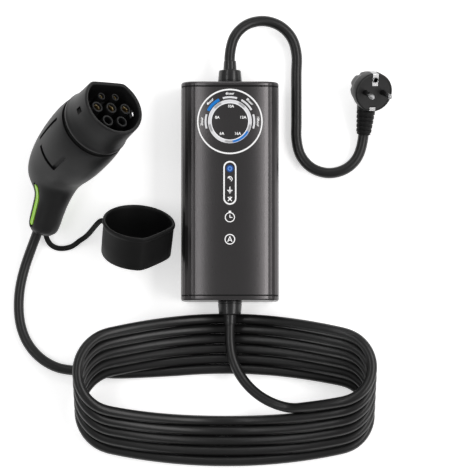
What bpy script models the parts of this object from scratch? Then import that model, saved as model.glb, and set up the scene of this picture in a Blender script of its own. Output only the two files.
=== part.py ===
"""Portable EV charger: control box, mains lead with plug, and a coiled cable with its connector.

It lies on the floor as it would be laid out for use. +Z is up, +Y runs along the control box from
the car cable to the mains lead, and the origin is the middle of the control box's flat back.
"""
import math

import bmesh
import bpy
from mathutils import Matrix, Vector

MM = 0.001
GAP = 0.3 * MM              # clearance between a piece and its neighbour
CUT = 1 * MM                # how far a cutter reaches past the wall that it cuts

# Control box: an extruded sleeve that is closed by two moulded end caps
CASE_WIDTH = 96 * MM
CASE_LENGTH = 215 * MM
CASE_HEIGHT = 46 * MM
CASE_CORNER = 14 * MM
CASE_WALL = 2.4 * MM
END_CAP_PLATE = 4 * MM
END_CAP_PLUG = 7 * MM
END_CAP_LIP = 2 * MM
END_CAP_ROUND = 2 * MM
GASKET_THICKNESS = 0.8 * MM
SCREW_FROM_CORNER_CENTRE = 9.2 * MM
SCREW_BOSS_RADIUS = 3.4 * MM
SCREW_HEAD_RADIUS = 2.2 * MM
SCREW_HEAD_HEIGHT = 1.3 * MM
SCREW_SHANK_RADIUS = 1.2 * MM
SCREW_LENGTH = 11 * MM

# Strain relief bushes at both ends of the box
BUSH_ROOT_RADIUS = 12 * MM
BUSH_MOUTH_RADIUS = 10.7 * MM
BUSH_LENGTH = 13 * MM
BUSH_STEM_RADIUS = 8.5 * MM
BUSH_STEM_LENGTH = 9 * MM

# Panel on the front: the round dial above, the status window below
DIAL_Y = CASE_LENGTH / 2 - 39.7 * MM
DIAL_RADIUS = 32.2 * MM
TRIM_WIDTH = 1.4 * MM
PANEL_FLANGE = 2.2 * MM
PANEL_FLANGE_THICKNESS = 1.6 * MM
PANEL_RELIEF = 3.5 * MM
LIGHT_RING_OUTER = 21.5 * MM
LIGHT_RING_WIDTH = 3.6 * MM
LIGHT_DEPTH = 1.5 * MM
TIMER_BAR_RADIUS = 23.9 * MM
TIMER_BAR_WIDTH = 1.9 * MM
TIMER_BAR_SPAN = 34
TIMER_BAR_COUNT = 5
STATUS_Y = DIAL_Y - 60.4 * MM
STATUS_WIDTH = 12.8 * MM
STATUS_LENGTH = 43 * MM

# Electronics on two boards
BOARD_THICKNESS = 1.6 * MM
BOARD_Z = 16 * MM
RAIL_DEPTH = 3 * MM
RAIL_THICKNESS = 1.2 * MM
DISPLAY_BOARD = (CASE_WIDTH - 26 * MM, 110 * MM)
DISPLAY_BOARD_Y = DIAL_Y - 27.8 * MM
RELAY = (28 * MM, 13 * MM)
RELAY_HEADROOM = 4.9 * MM
RELAY_PLACE = (CASE_WIDTH / 2 - 26 * MM, CASE_LENGTH / 2 - 45.5 * MM)
TRANSFORMER = (26 * MM, 22 * MM)
TRANSFORMER_HEADROOM = 3.9 * MM
TRANSFORMER_PLACE = (28 * MM - CASE_WIDTH / 2, 8 * MM)
TERMINAL = (34 * MM, 13 * MM, 12 * MM)
CAPACITOR_RADIUS = 6 * MM
CAPACITOR_HEADROOM = 2.9 * MM
CAPACITOR_PLACE = (CASE_WIDTH / 2 - 26 * MM, 10 * MM)
SENSE_RING_RADIUS = 11 * MM
SENSE_RING_BORE = 6 * MM
SENSE_RING_HEIGHT = 9 * MM
SENSE_RING_Y = 67.5 * MM - CASE_LENGTH / 2
HEADER = (20 * MM, 5 * MM)

# Cables
CAR_CABLE = 10 * MM
MAINS_CABLE = 10.5 * MM
ROUTE_STEP = 14 * MM

MAINS_ROUTE = [
    (0, 137, 23), (4.5, 154.5, 21.9), (16.2, 166.7, 19.7), (33, 171, 16.7), (49.5, 166.6, 13.4),
    (61.6, 154.5, 10.2), (66.2, 138, 7.5), (66, 121, 5.8), (66, 104, 5.4), (66, 87, 5.4),
    (66, 70, 5.4), (66, 54.3, 5.4), (70.3, 37.9, 5.4), (81.7, 25.5, 5.4), (98.6, 20.6, 5.4),
    (115.3, 25.1, 5.4), (126.4, 36.3, 5.7)]
GUN_TAIL_ROUTE = [
    (-197, -56, 8.8), (-203, -73, 6), (-207.5, -92, 5.3), (-209, -111, 5.2), (-207, -130, 5.2),
    (-200, -148, 5.2), (-187, -163, 5.2), (-170, -172.3, 5.2)]
BOX_TAIL_ROUTE = [
    (29.9, -205.5, 24.4), (16.9, -198.1, 23.2), (6.6, -185.9, 22.2), (0.6, -169.1, 21.6),
    (0.1, -149, 22.6), (0, -134, 23)]

# Coil of the car cable: loops like a racetrack, each laid a little nearer the box than the last
COIL_X = -5 * MM
COIL_HALF_WIDTH = 143 * MM
COIL_HALF_DEPTH = 46 * MM
COIL_END_RADIUS = 40 * MM
COIL_TURNS = 5.5
COIL_PITCH = 10.4 * MM
COIL_RISE = 10.8 * MM
COIL_BACK_Y = -118 * MM

# Connector: its origin is the elbow where the barrel's axis meets the handle's, with +Z out of
# the nose, +Y towards the nose's flat side and +X to its right
ELBOW = Vector((-161, 36, 46.8)) * MM
BARREL_AXIS = Vector((0.53, 0.42, 0.737))
BARREL_RIGHT = Vector((0.812, 0, -0.584))
HANDLE_BEND = 35
HANDLE_LENGTH = 84 * MM
NOSE_REACH = 95 * MM
BARREL_FRONT = 54.2 * MM
SHROUD_RADIUS = 31.5 * MM
SHROUD_WALL = 3.6 * MM
SHROUD_FLAT = 26 * MM
SHROUD_SEAT = 11.5 * MM
COLLAR_RADIUS = 34.3 * MM
LOCK_HOLE = 5.5 * MM
LOCK_HOLE_SETBACK = 14 * MM
SEAL_RADIUS = 33.4 * MM
SEAL_WIDTH = 4.1 * MM
CARRIER_FLOOR = 30 * MM
CARRIER_PLATE = 5 * MM
SLEEVE_SETBACK = 5 * MM
POWER_SLEEVE = 5.7 * MM
POWER_BORE = 4 * MM
SIGNAL_SLEEVE = 3.9 * MM
SIGNAL_BORE = 2.5 * MM
CONTACT_WALL = 0.7 * MM
CONTACT_SETBACK = 2 * MM
CONTACT_TAIL = 3 * MM
POWER_SPACING = 16 * MM
LOWER_ROW = 14.5 * MM
SIGNAL_ROW = 12.4 * MM
STRIP_WIDTH = 4.6 * MM
STRIP_DEPTH = 1.2 * MM
STRIP_START = 32 * MM
STRIP_END = 79 * MM
STRIP_BORDER = 1.6 * MM
GROOVE_WIDTH = 2.2 * MM
CABLE_OFFSET = -5 * MM

# Sections of the connector's body, from the front of the barrel to the end of the handle, in mm:
# the lower and the upper point of each section as (y, z), and its half width
BODY_SECTIONS = [
    (-34.5, 54.2, 34.5, 54.2, 34.5), (-35.6, 50, 35.2, 50, 35.2), (-36.6, 40, 35.8, 40, 35.8),
    (-37, 28, 35, 25, 35.5), (-37, 15, 32.5, 4, 34), (-35.5, 2, 27, -17, 31.8),
    (-33.5, -8, 18, -34, 29.5), (-34.5, -17, 7.5, -45, 26), (-42, -26.8, -10.8, -50, 20),
    (-50.3, -40.5, -20.9, -61.1, 18), (-56.4, -50.8, -28.6, -70.4, 17),
    (-58.4, -58, -34.6, -74.6, 14.8), (-57.6, -62.2, -38.8, -75.4, 12)]
BODY_SIDES = 32

# Rubber cap for the connector, on its strap
CAP_CENTRE = Vector((-92.5, -62, 28.6)) * MM
CAP_AXIS = Vector((0.10, 0.842, 0.53))
CAP_FLAT_SIDE = Vector((0.75, -0.35, 0.55))
CAP_RADIUS = 34.5 * MM
CAP_FLAT = 29 * MM
CAP_WALL = 2.6 * MM
CAP_HEIGHT = 37 * MM
CAP_BEAD = 1.2 * MM
CAP_BEAD_HEIGHT = 3 * MM
STRAP_WIDTH = 5 * MM
STRAP_THICKNESS = 2.2 * MM
STRAP_OFFSET = 6 * MM
STRAP_RISE = 29 * MM
STRAP_ROUTE = [
    (-178, -50, 4), (-169.5, -54, 1.6), (-158, -52.5, 1.6), (-148.5, -46.5, 6),
    (-141, -41, 16), (-134.5, -38, 28)]

# Mains plug: its origin is the middle of the pin face
PLUG_CENTRE = Vector((142, 97, 38.5)) * MM
PIN_AXIS = Vector((0.36, -0.36, 0.86))
PLUG_SIDE = Vector((0.90, 0.05, -0.36))
PLUG_RADIUS = 19.5 * MM
PLUG_BACK_RADIUS = 14 * MM
PLUG_DEPTH = 28 * MM
PLUG_RIM = 10 * MM
BOOT_DEPTH = 15 * MM
HUB_REACH = 21 * MM
PIN_RADIUS = 2.4 * MM
PIN_LENGTH = 19 * MM
PIN_SPACING = 19 * MM
BOOT_LENGTH = 25 * MM
BOOT_ROOT_RADIUS = 9.2 * MM
BOOT_MOUTH_RADIUS = 7.6 * MM
BOOT_RIBS = 4
BOOT_GROOVE = 1.1 * MM
EARTH_CLIP_WIDTH = 6.4 * MM
EARTH_CLIP_THICKNESS = 1 * MM
EARTH_CLIP_REACH = (13 * MM, 4.5 * MM)
EARTH_CLIP_SIDE = 12 * MM
EARTH_SOCKET_RADIUS = 2.5 * MM

FINE = 32                   # sides of a round piece
COARSE = 20


def clear_scene():
    for thing in list(bpy.data.objects):
        bpy.data.objects.remove(thing, do_unlink=True)


def collection(name):
    made = bpy.data.collections.new(name)
    bpy.context.scene.collection.children.link(made)
    return made


def material(name, colour, roughness, metallic=0.0):
    made = bpy.data.materials.new(name)
    made.use_nodes = True
    shader = made.node_tree.nodes["Principled BSDF"]
    shader.inputs["Base Color"].default_value = (*colour, 1)
    shader.inputs["Roughness"].default_value = roughness
    shader.inputs["Metallic"].default_value = metallic
    made.diffuse_color = (*colour, 1)
    return made


def add(name, mesh, finish, matrix=None):
    """A named object for a finished mesh, placed by a matrix."""
    thing = bpy.data.objects.new(name, mesh)
    thing.matrix_world = matrix or Matrix.Identity(4)
    PARTS.objects.link(thing)
    mesh.materials.clear()
    mesh.materials.append(finish)
    return thing


def as_cutter(thing):
    PARTS.objects.unlink(thing)
    CUTTERS.objects.link(thing)
    thing.hide_render = True
    thing.display_type = "WIRE"
    return thing


def cut(thing, *cutters):
    for cutter in cutters:
        modifier = thing.modifiers.new("cut", "BOOLEAN")
        modifier.object = as_cutter(cutter)
        modifier.operation = "DIFFERENCE"
        modifier.solver = "EXACT"
    return thing


def join(thing, *others):
    for other in others:
        modifier = thing.modifiers.new("join", "BOOLEAN")
        modifier.object = as_cutter(other)
        modifier.operation = "UNION"
        modifier.solver = "EXACT"
    return thing


def bevel(thing, width, segments=2, angle=40):
    modifier = thing.modifiers.new("edges", "BEVEL")
    modifier.width = width
    modifier.segments = segments
    modifier.limit_method = "ANGLE"
    modifier.angle_limit = math.radians(angle)
    return thing


def smooth(mesh, angle=35):
    mesh.shade_smooth()
    mesh.set_sharp_from_angle(angle=math.radians(angle))
    return mesh


def mesh_of(build):
    """A mesh made by a function that fills a bmesh."""
    shape = bmesh.new()
    build(shape)
    bmesh.ops.recalc_face_normals(shape, faces=shape.faces)
    mesh = bpy.data.meshes.new("mesh")
    shape.to_mesh(mesh)
    shape.free()
    return smooth(mesh)


def block(size, centre=(0, 0, 0)):
    """A box of a size about its centre."""
    def build(shape):
        bmesh.ops.create_cube(shape, size=1)
        bmesh.ops.scale(shape, vec=Vector(size), verts=shape.verts)
        bmesh.ops.translate(shape, vec=Vector(centre), verts=shape.verts)
    return mesh_of(build)


def rod(radius, bottom, top, centre=(0, 0), sides=FINE, top_radius=None):
    """A round rod or cone along Z from bottom to top."""
    def build(shape):
        bmesh.ops.create_cone(
            shape, cap_ends=True, segments=sides, radius1=radius,
            radius2=radius if top_radius is None else top_radius, depth=top - bottom)
        middle = Vector((centre[0], centre[1], (top + bottom) / 2))
        bmesh.ops.translate(shape, vec=middle, verts=shape.verts)
    return mesh_of(build)


def turned(name, profile, finish, matrix, sides=FINE):
    """A turned piece: a profile of (radius, z) from top to bottom, with a Screw modifier about Z."""
    mesh = bpy.data.meshes.new(name)
    points = [(radius, 0, z) for radius, z in profile]
    closed = profile[0][0] > 0
    edges = [(i, i + 1) for i in range(len(points) - 1)]
    if closed:
        edges.append((len(points) - 1, 0))
    mesh.from_pydata(points, edges, [])
    thing = add(name, mesh, finish, matrix)
    screw = thing.modifiers.new("turn", "SCREW")
    screw.steps = screw.render_steps = sides
    screw.use_merge_vertices = True
    screw.merge_threshold = 0.00001
    return thing


def outline_solid(loops, depth, bottom=0.0):
    """A flat outline, with its holes, as a solid from bottom to bottom + depth along Z."""
    curve = bpy.data.curves.new("outline", "CURVE")
    curve.dimensions = "2D"
    curve.fill_mode = "BOTH"
    curve.extrude = depth / 2
    for loop in loops:
        spline = curve.splines.new("POLY")
        spline.points.add(len(loop) - 1)
        for point, (x, y) in zip(spline.points, loop):
            point.co = (x, y, 0, 1)
        spline.use_cyclic_u = True
    carrier = bpy.data.objects.new("outline", curve)
    bpy.context.scene.collection.objects.link(carrier)
    bpy.context.view_layer.update()
    evaluated = carrier.evaluated_get(bpy.context.evaluated_depsgraph_get())
    mesh = bpy.data.meshes.new_from_object(evaluated)
    bpy.data.objects.remove(carrier)
    shape = bmesh.new()
    shape.from_mesh(mesh)
    bmesh.ops.remove_doubles(shape, verts=shape.verts, dist=0.00001)
    bmesh.ops.translate(shape, vec=(0, 0, bottom + depth / 2), verts=shape.verts)
    bmesh.ops.recalc_face_normals(shape, faces=shape.faces)
    shape.to_mesh(mesh)
    shape.free()
    return smooth(mesh)


def loft(rings):
    """A closed skin over rings of points that have one count."""
    def build(shape):
        rows = [[shape.verts.new(point) for point in ring] for ring in rings]
        count = len(rings[0])
        for low, high in zip(rows, rows[1:]):
            for i in range(count):
                shape.faces.new((low[i], low[(i + 1) % count], high[(i + 1) % count], high[i]))
        shape.faces.new(rows[0])
        shape.faces.new(rows[-1])
    return mesh_of(build)


def arc(centre, radius, start, end, steps):
    """Points on an arc, by angles in degrees."""
    return [
        (centre[0] + radius * math.cos(math.radians(start + (end - start) * i / steps)),
         centre[1] + radius * math.sin(math.radians(start + (end - start) * i / steps)))
        for i in range(steps + 1)]


def rounded_rectangle(width, height, radius, steps=6):
    x, y = width / 2 - radius, height / 2 - radius
    return (arc((x, y), radius, 0, 90, steps) + arc((-x, y), radius, 90, 180, steps)
            + arc((-x, -y), radius, 180, 270, steps) + arc((x, -y), radius, 270, 360, steps))


def frame_of(origin, x_axis, z_axis):
    """A placing matrix with its Z on z_axis and its X as near x_axis as that allows."""
    z = Vector(z_axis).normalized()
    x = (Vector(x_axis) - Vector(x_axis).dot(z) * z).normalized()
    turn = Matrix((x, z.cross(x), z)).transposed().to_4x4()
    return Matrix.Translation(origin) @ turn


def smooth_route(points, step=ROUTE_STEP):
    """Evenly placed points on the smooth curve through a route's own points."""
    points = [Vector(point) for point in points]
    ends = [2 * points[0] - points[1], *points, 2 * points[-1] - points[-2]]
    fine = []
    for a, b, c, d in zip(ends, ends[1:], ends[2:], ends[3:]):
        for i in range(24):
            t = i / 24
            fine.append(0.5 * (2 * b + (c - a) * t + (2 * a - 5 * b + 4 * c - d) * t * t
                               + (3 * b - a - 3 * c + d) * t ** 3))
    fine.append(points[-1])
    length = sum((q - p).length for p, q in zip(fine, fine[1:]))
    count = max(2, round(length / step))
    route, walked, target = [fine[0]], 0.0, length / count
    for p, q in zip(fine, fine[1:]):
        stretch = (q - p).length
        while stretch > 0 and walked + stretch >= target * len(route) and len(route) < count:
            route.append(p.lerp(q, (target * len(route) - walked) / stretch))
        walked += stretch
    route.append(fine[-1])
    return route


def tube(name, route, diameter, finish):
    """A cable: a curve along its route, with filled ends."""
    curve = bpy.data.curves.new(name, "CURVE")
    curve.dimensions = "3D"
    curve.bevel_depth = diameter / 2
    curve.bevel_resolution = 3
    curve.use_fill_caps = True
    spline = curve.splines.new("POLY")
    spline.points.add(len(route) - 1)
    for point, place in zip(spline.points, route):
        point.co = (*place, 1)
    thing = bpy.data.objects.new(name, curve)
    curve.materials.append(finish)
    PARTS.objects.link(thing)
    return thing


def round_cutter(radius, bottom, top, matrix, sides=FINE):
    return add("cutter", rod(radius, bottom, top, sides=sides), MATERIALS["plastic"], matrix)


def sector(radius, width, middle, span, steps=8):
    """The outline of an arc-shaped bar."""
    start, end = middle - span / 2, middle + span / 2
    return (arc((0, 0), radius + width / 2, start, end, steps)
            + arc((0, 0), radius - width / 2, end, start, steps))


def offset_section(inset):
    """The case's section, inset all round."""
    return rounded_rectangle(CASE_WIDTH - 2 * inset, CASE_HEIGHT - 2 * inset, CASE_CORNER - inset)


def screw_places():
    """The four end screws, from the middle of the section."""
    reach = SCREW_FROM_CORNER_CENTRE / math.sqrt(2)
    x = CASE_WIDTH / 2 - CASE_CORNER + reach
    z = CASE_HEIGHT / 2 - CASE_CORNER + reach
    return [(x, z), (-x, z), (-x, -z), (x, -z)]


def build_sleeve():
    """The extrusion, with rails for the board, screw channels and the two panel openings."""
    x = CASE_WIDTH / 2 - CASE_WALL
    z = CASE_HEIGHT / 2 - CASE_CORNER
    slot_bottom = BOARD_Z - GAP - CASE_HEIGHT / 2
    slot_top = slot_bottom + BOARD_THICKNESS + 2 * GAP
    low, high = slot_bottom - RAIL_THICKNESS, slot_top + RAIL_THICKNESS
    side = [(x, high), (x - RAIL_DEPTH, high), (x - RAIL_DEPTH, slot_top), (x, slot_top),
            (x, slot_bottom), (x - RAIL_DEPTH, slot_bottom), (x - RAIL_DEPTH, low), (x, low)]
    radius = CASE_CORNER - CASE_WALL
    corner = CASE_WIDTH / 2 - CASE_CORNER
    bore = (arc((corner, z), radius, 0, 90, 6) + arc((-corner, z), radius, 90, 180, 6)
            + [(-a, b) for a, b in side]
            + arc((-corner, -z), radius, 180, 270, 6) + arc((corner, -z), radius, 270, 360, 6)
            + side[::-1])
    mesh = outline_solid([offset_section(0), bore], 2 * SLEEVE_END, -SLEEVE_END)
    sleeve = add("sleeve", mesh, MATERIALS["case"], ALONG_BOX)
    for place in screw_places():
        matrix = ALONG_BOX @ Matrix.Translation((*place, 0))
        boss = add("boss", rod(SCREW_BOSS_RADIUS, -SLEEVE_END, SLEEVE_END, sides=COARSE),
                   MATERIALS["case"], matrix)
        join(sleeve, boss)
        cut(sleeve, round_cutter(SCREW_SHANK_RADIUS + GAP, -SLEEVE_END - CUT, SLEEVE_END + CUT,
                                 matrix, 12))
    above = CASE_HEIGHT - CASE_WALL - RAIL_DEPTH
    cut(sleeve, round_cutter(DIAL_RADIUS + GAP, above, CASE_HEIGHT + CUT, DIAL, 64))
    window = outline_solid([pill(GAP)], CASE_HEIGHT + CUT - above, above)
    cut(sleeve, add("window", window, MATERIALS["case"], STATUS))


def pill(grow):
    """The status window's outline, grown or shrunk."""
    width, length = STATUS_WIDTH + 2 * grow, STATUS_LENGTH + 2 * grow
    return rounded_rectangle(width, length, width / 2 - 0.01 * MM, 8)


def build_end(name, side):
    """One end of the box: cap, gasket, bush and four screws."""
    face = CASE_LENGTH / 2
    step = face - END_CAP_PLATE
    middle = CASE_HEIGHT / 2

    def ring(outline, y):
        return [(x, side * y, z + middle) for x, z in outline]

    plug_width = CASE_WIDTH / 2 - CASE_WALL - RAIL_DEPTH - GAP
    plug_height = middle - CASE_WALL - GAP
    plug = rounded_rectangle(2 * plug_width, 2 * plug_height, CASE_CORNER - 2 * CASE_WALL)
    turns = [math.radians(angle) for angle in (90, 60, 30, 0)]
    rings = [ring(offset_section(END_CAP_ROUND * (1 - math.cos(t))),
                  face - END_CAP_ROUND * (1 - math.sin(t))) for t in turns]
    rings += [ring(offset_section(0), step), ring(plug, step), ring(plug, step - END_CAP_PLUG)]
    cap = add(name + "_end_cap", loft(rings), MATERIALS["plastic"])

    pocket = rounded_rectangle(2 * (plug_width - END_CAP_LIP), 2 * (plug_height - END_CAP_LIP),
                               CASE_CORNER - 2 * CASE_WALL - END_CAP_LIP)
    rings = [ring(pocket, step), ring(pocket, step - END_CAP_PLUG - CUT)]
    cut(cap, add("pocket", loft(rings), MATERIALS["plastic"]))
    outward = frame_of(Vector((0, 0, middle)), (1, 0, 0), (0, side, 0))
    cut(cap, round_cutter(BUSH_STEM_RADIUS + GAP, step - END_CAP_PLUG, face + CUT, outward))
    for x, z in screw_places():
        matrix = outward @ Matrix.Translation((x, z, 0))
        seat = face - SCREW_HEAD_HEIGHT - GAP
        cut(cap,
            round_cutter(SCREW_BOSS_RADIUS + GAP, step - END_CAP_PLUG - CUT, step, matrix, COARSE),
            round_cutter(SCREW_SHANK_RADIUS + GAP, step - CUT, face + CUT, matrix, 12),
            round_cutter(SCREW_HEAD_RADIUS + GAP, seat, face + CUT, matrix, COARSE))

    if side > 0:
        # The round panel's flange reaches over the top cap's lip
        reach = DIAL_RADIUS + PANEL_FLANGE + GAP
        cut(cap, round_cutter(reach, CASE_HEIGHT - 2 * PANEL_RELIEF, CASE_HEIGHT - CASE_WALL,
                              DIAL, 64))

    gasket = outline_solid([offset_section(GAP), offset_section(CASE_WALL)], GASKET_THICKNESS,
                           SLEEVE_END + GAP)
    add(name + "_gasket", gasket, MATERIALS["rubber"], outward)

    base = face + GAP
    profile = [(0, base + BUSH_LENGTH), (BUSH_MOUTH_RADIUS - 1 * MM, base + BUSH_LENGTH),
               (BUSH_MOUTH_RADIUS, base + BUSH_LENGTH - 1 * MM), (BUSH_ROOT_RADIUS, base),
               (BUSH_STEM_RADIUS, base), (BUSH_STEM_RADIUS, base - BUSH_STEM_LENGTH),
               (0, base - BUSH_STEM_LENGTH)]
    turned(name + "_bush", profile, MATERIALS["rubber"], outward)

    head = face - GAP / 2
    profile = [(0, head), (SCREW_HEAD_RADIUS, head), (SCREW_HEAD_RADIUS, head - SCREW_HEAD_HEIGHT),
               (SCREW_SHANK_RADIUS, head - SCREW_HEAD_HEIGHT),
               (SCREW_SHANK_RADIUS, head - SCREW_LENGTH), (0, head - SCREW_LENGTH)]
    for index, (x, z) in enumerate(screw_places(), 1):
        screw = f"{name}_screw_{index}"
        turned(screw, profile, MATERIALS["steel"], outward @ Matrix.Translation((x, z, 0)), COARSE)


def build_dial():
    """The round panel, its white trim ring, the light ring and the five timer bars."""
    top = CASE_HEIGHT
    seat = top - CASE_WALL - GAP
    back = seat - PANEL_FLANGE_THICKNESS
    face = DIAL_RADIUS - TRIM_WIDTH - GAP
    ring_inner = LIGHT_RING_OUTER - LIGHT_RING_WIDTH
    groove = top - LIGHT_DEPTH - GAP
    profile = [(0, top), (ring_inner - GAP, top), (ring_inner - GAP, groove),
               (LIGHT_RING_OUTER + GAP, groove), (LIGHT_RING_OUTER + GAP, top), (face, top),
               (face, seat), (DIAL_RADIUS + PANEL_FLANGE, seat), (DIAL_RADIUS + PANEL_FLANGE, back),
               (0, back)]
    panel = turned("dial_panel", profile, MATERIALS["case"], DIAL, 64)

    profile = [(DIAL_RADIUS, top), (DIAL_RADIUS, seat + GAP), (DIAL_RADIUS - TRIM_WIDTH, seat + GAP),
               (DIAL_RADIUS - TRIM_WIDTH, top)]
    turned("dial_trim_ring", profile, MATERIALS["trim"], DIAL, 64)
    floor = groove + GAP
    profile = [(LIGHT_RING_OUTER, top), (LIGHT_RING_OUTER, floor), (ring_inner, floor),
               (ring_inner, top)]
    turned("amp_light_ring", profile, MATERIALS["light"], DIAL, 64)

    for index in range(TIMER_BAR_COUNT):
        angle = 180 - 180 * index / (TIMER_BAR_COUNT - 1)
        outline = sector(TIMER_BAR_RADIUS, TIMER_BAR_WIDTH, angle, TIMER_BAR_SPAN)
        bar = outline_solid([outline], LIGHT_DEPTH, floor)
        add(f"timer_light_{index + 1}", bar, MATERIALS["light"], DIAL)
        extra = 2 * math.degrees(GAP / TIMER_BAR_RADIUS)
        outline = sector(TIMER_BAR_RADIUS, TIMER_BAR_WIDTH + 2 * GAP, angle, TIMER_BAR_SPAN + extra)
        pocket = outline_solid([outline], top + CUT - groove, groove)
        cut(panel, add("pocket", pocket, MATERIALS["light"], DIAL))


def build_status():
    """The long status window and its trim ring."""
    top = CASE_HEIGHT
    seat = top - CASE_WALL - GAP
    back = seat - PANEL_FLANGE_THICKNESS
    face = pill(-TRIM_WIDTH - GAP)
    flange = pill(PANEL_FLANGE)
    rings = [[(x, y, z) for x, y in outline]
             for outline, z in ((face, top), (face, seat), (flange, seat), (flange, back))]
    add("status_panel", loft(rings), MATERIALS["case"], STATUS)
    trim = outline_solid([pill(0), pill(-TRIM_WIDTH)], CASE_WALL, seat + GAP)
    add("status_trim_ring", trim, MATERIALS["trim"], STATUS)


def build_electronics():
    """The mains board in its rails, the display board behind the panels, and what they carry."""
    width = CASE_WIDTH - 2 * CASE_WALL - 2 * GAP
    length = 2 * (CASE_LENGTH / 2 - END_CAP_PLATE - END_CAP_PLUG - GAP)
    middle = BOARD_Z + BOARD_THICKNESS / 2
    add("main_board", block((width, length, BOARD_THICKNESS), (0, 0, middle)), MATERIALS["board"])

    floor = BOARD_Z + BOARD_THICKNESS + GAP
    panel_back = CASE_HEIGHT - CASE_WALL - GAP - PANEL_FLANGE_THICKNESS
    display_top = panel_back - GAP
    size = (*DISPLAY_BOARD, BOARD_THICKNESS)
    place = (0, DISPLAY_BOARD_Y, display_top - BOARD_THICKNESS / 2)
    add("display_board", block(size, place), MATERIALS["board"])
    ceiling = display_top - BOARD_THICKNESS
    header = ceiling - GAP - floor
    place = (0, DISPLAY_BOARD_Y, floor + header / 2)
    add("header_block", block((*HEADER, header), place), MATERIALS["plastic"])

    height = ceiling - RELAY_HEADROOM - floor
    for index, side in enumerate((-1, 1), 1):
        place = (side * RELAY_PLACE[0], RELAY_PLACE[1], floor + height / 2)
        relay = add(f"relay_{index}", block((*RELAY, height), place), MATERIALS["relay"])
        bevel(relay, 0.6 * MM, 1)
    height = ceiling - TRANSFORMER_HEADROOM - floor
    place = (*TRANSFORMER_PLACE, floor + height / 2)
    transformer = add("transformer", block((*TRANSFORMER, height), place), MATERIALS["relay"])
    bevel(transformer, 1 * MM, 1)
    top = ceiling - CAPACITOR_HEADROOM
    profile = [(0, top), (CAPACITOR_RADIUS, top), (CAPACITOR_RADIUS, floor), (0, floor)]
    turned("capacitor", profile, MATERIALS["plastic"],
           Matrix.Translation((*CAPACITOR_PLACE, 0)), COARSE)
    top = floor + SENSE_RING_HEIGHT
    profile = [(SENSE_RING_RADIUS, top), (SENSE_RING_RADIUS, floor), (SENSE_RING_BORE, floor),
               (SENSE_RING_BORE, top)]
    turned("sense_ring", profile, MATERIALS["relay"], Matrix.Translation((0, SENSE_RING_Y, 0)))
    for name, side in (("top", 1), ("bottom", -1)):
        place = (0, side * (length / 2 - 12 * MM), floor + TERMINAL[2] / 2)
        add(f"{name}_terminal_block", block(TERMINAL, place), MATERIALS["terminal"])


def racetrack(grow, y, start, end, step=7.5):
    """Points on one loop of the coil, grown by a distance, by the angle of its outward normal."""
    a, b, end_radius = COIL_HALF_WIDTH, COIL_HALF_DEPTH, COIL_END_RADIUS
    side_radius = (a * a + b * b - 2 * a * end_radius) / (2 * (b - end_radius))
    quarter = math.degrees(math.asin((a - end_radius) / (side_radius - end_radius)))
    stops = [angle for turn in (0, 180) for angle in
             (turn + 90 - quarter, turn + 90, turn + 90 + quarter) if start < angle < end]
    count = math.ceil((end - start) / step)
    angles = sorted([start + (end - start) * i / count for i in range(count + 1)
                     if all(abs(start + (end - start) * i / count - stop) > 2 for stop in stops)]
                    + stops)
    points = []
    for angle in angles:
        leaning = abs(angle % 180 - 90) > quarter + 0.001
        radius = end_radius if leaning else side_radius
        turn = math.radians(angle)
        across = math.copysign(a - end_radius, math.cos(turn)) if leaning else 0
        up = 0 if leaning else math.copysign(side_radius - b, -math.sin(turn))
        points.append((COIL_X + across + (radius + grow) * math.cos(turn),
                       y + up + (radius + grow) * math.sin(turn)))
    return points


def build_coil():
    """The coil as one solid: its racetrack outline, the hole through it and the dip along its middle."""
    radius = CAR_CABLE / 2
    last = COIL_BACK_Y - radius - COIL_HALF_DEPTH
    first = last - 5 * COIL_PITCH
    outer = (racetrack(radius, last, 0, 180)
             + racetrack(radius, first + COIL_PITCH / 2, 180, 360))
    lens = (COIL_TURNS * COIL_PITCH) / 2
    corner = math.degrees(math.asin(lens / (COIL_END_RADIUS - radius)))
    hole = (racetrack(-radius, first, corner, 180 - corner)
            + racetrack(-radius, first + COIL_TURNS * COIL_PITCH, 180 + corner, 360 - corner)[1:-1])
    height = CAR_CABLE + 5 * COIL_RISE + GAP
    coil = add("ev_cable_coil", outline_solid([outer, hole], height), MATERIALS["cable"])

    dip = [(COIL_X + COIL_HALF_WIDTH, height + CUT), (COIL_X - COIL_HALF_WIDTH, height + CUT)]
    for step in range(-10, 11):
        share = abs(step) / 10
        eased = share * share * (3 - 2 * share)
        dip.append((COIL_X + COIL_HALF_WIDTH * step / 10,
                    CAR_CABLE + 2 * GAP + eased * (height - CAR_CABLE - 2 * GAP)))
    length = last - first + 2 * COIL_HALF_DEPTH + 4 * CAR_CABLE
    middle = frame_of(Vector((0, (last + first) / 2, 0)), (1, 0, 0), (0, -1, 0))
    cut(coil, add("dip", outline_solid([dip], length, -length / 2), MATERIALS["cable"], middle))


def plug_frame():
    return frame_of(PLUG_CENTRE, PLUG_SIDE, PIN_AXIS)


def boot_frame():
    """The boot's axis, out of the plug's side on -Y of the plug."""
    return plug_frame() @ frame_of(Vector((0, 0, -BOOT_DEPTH)), (1, 0, 0), (0, -1, 0))


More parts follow.
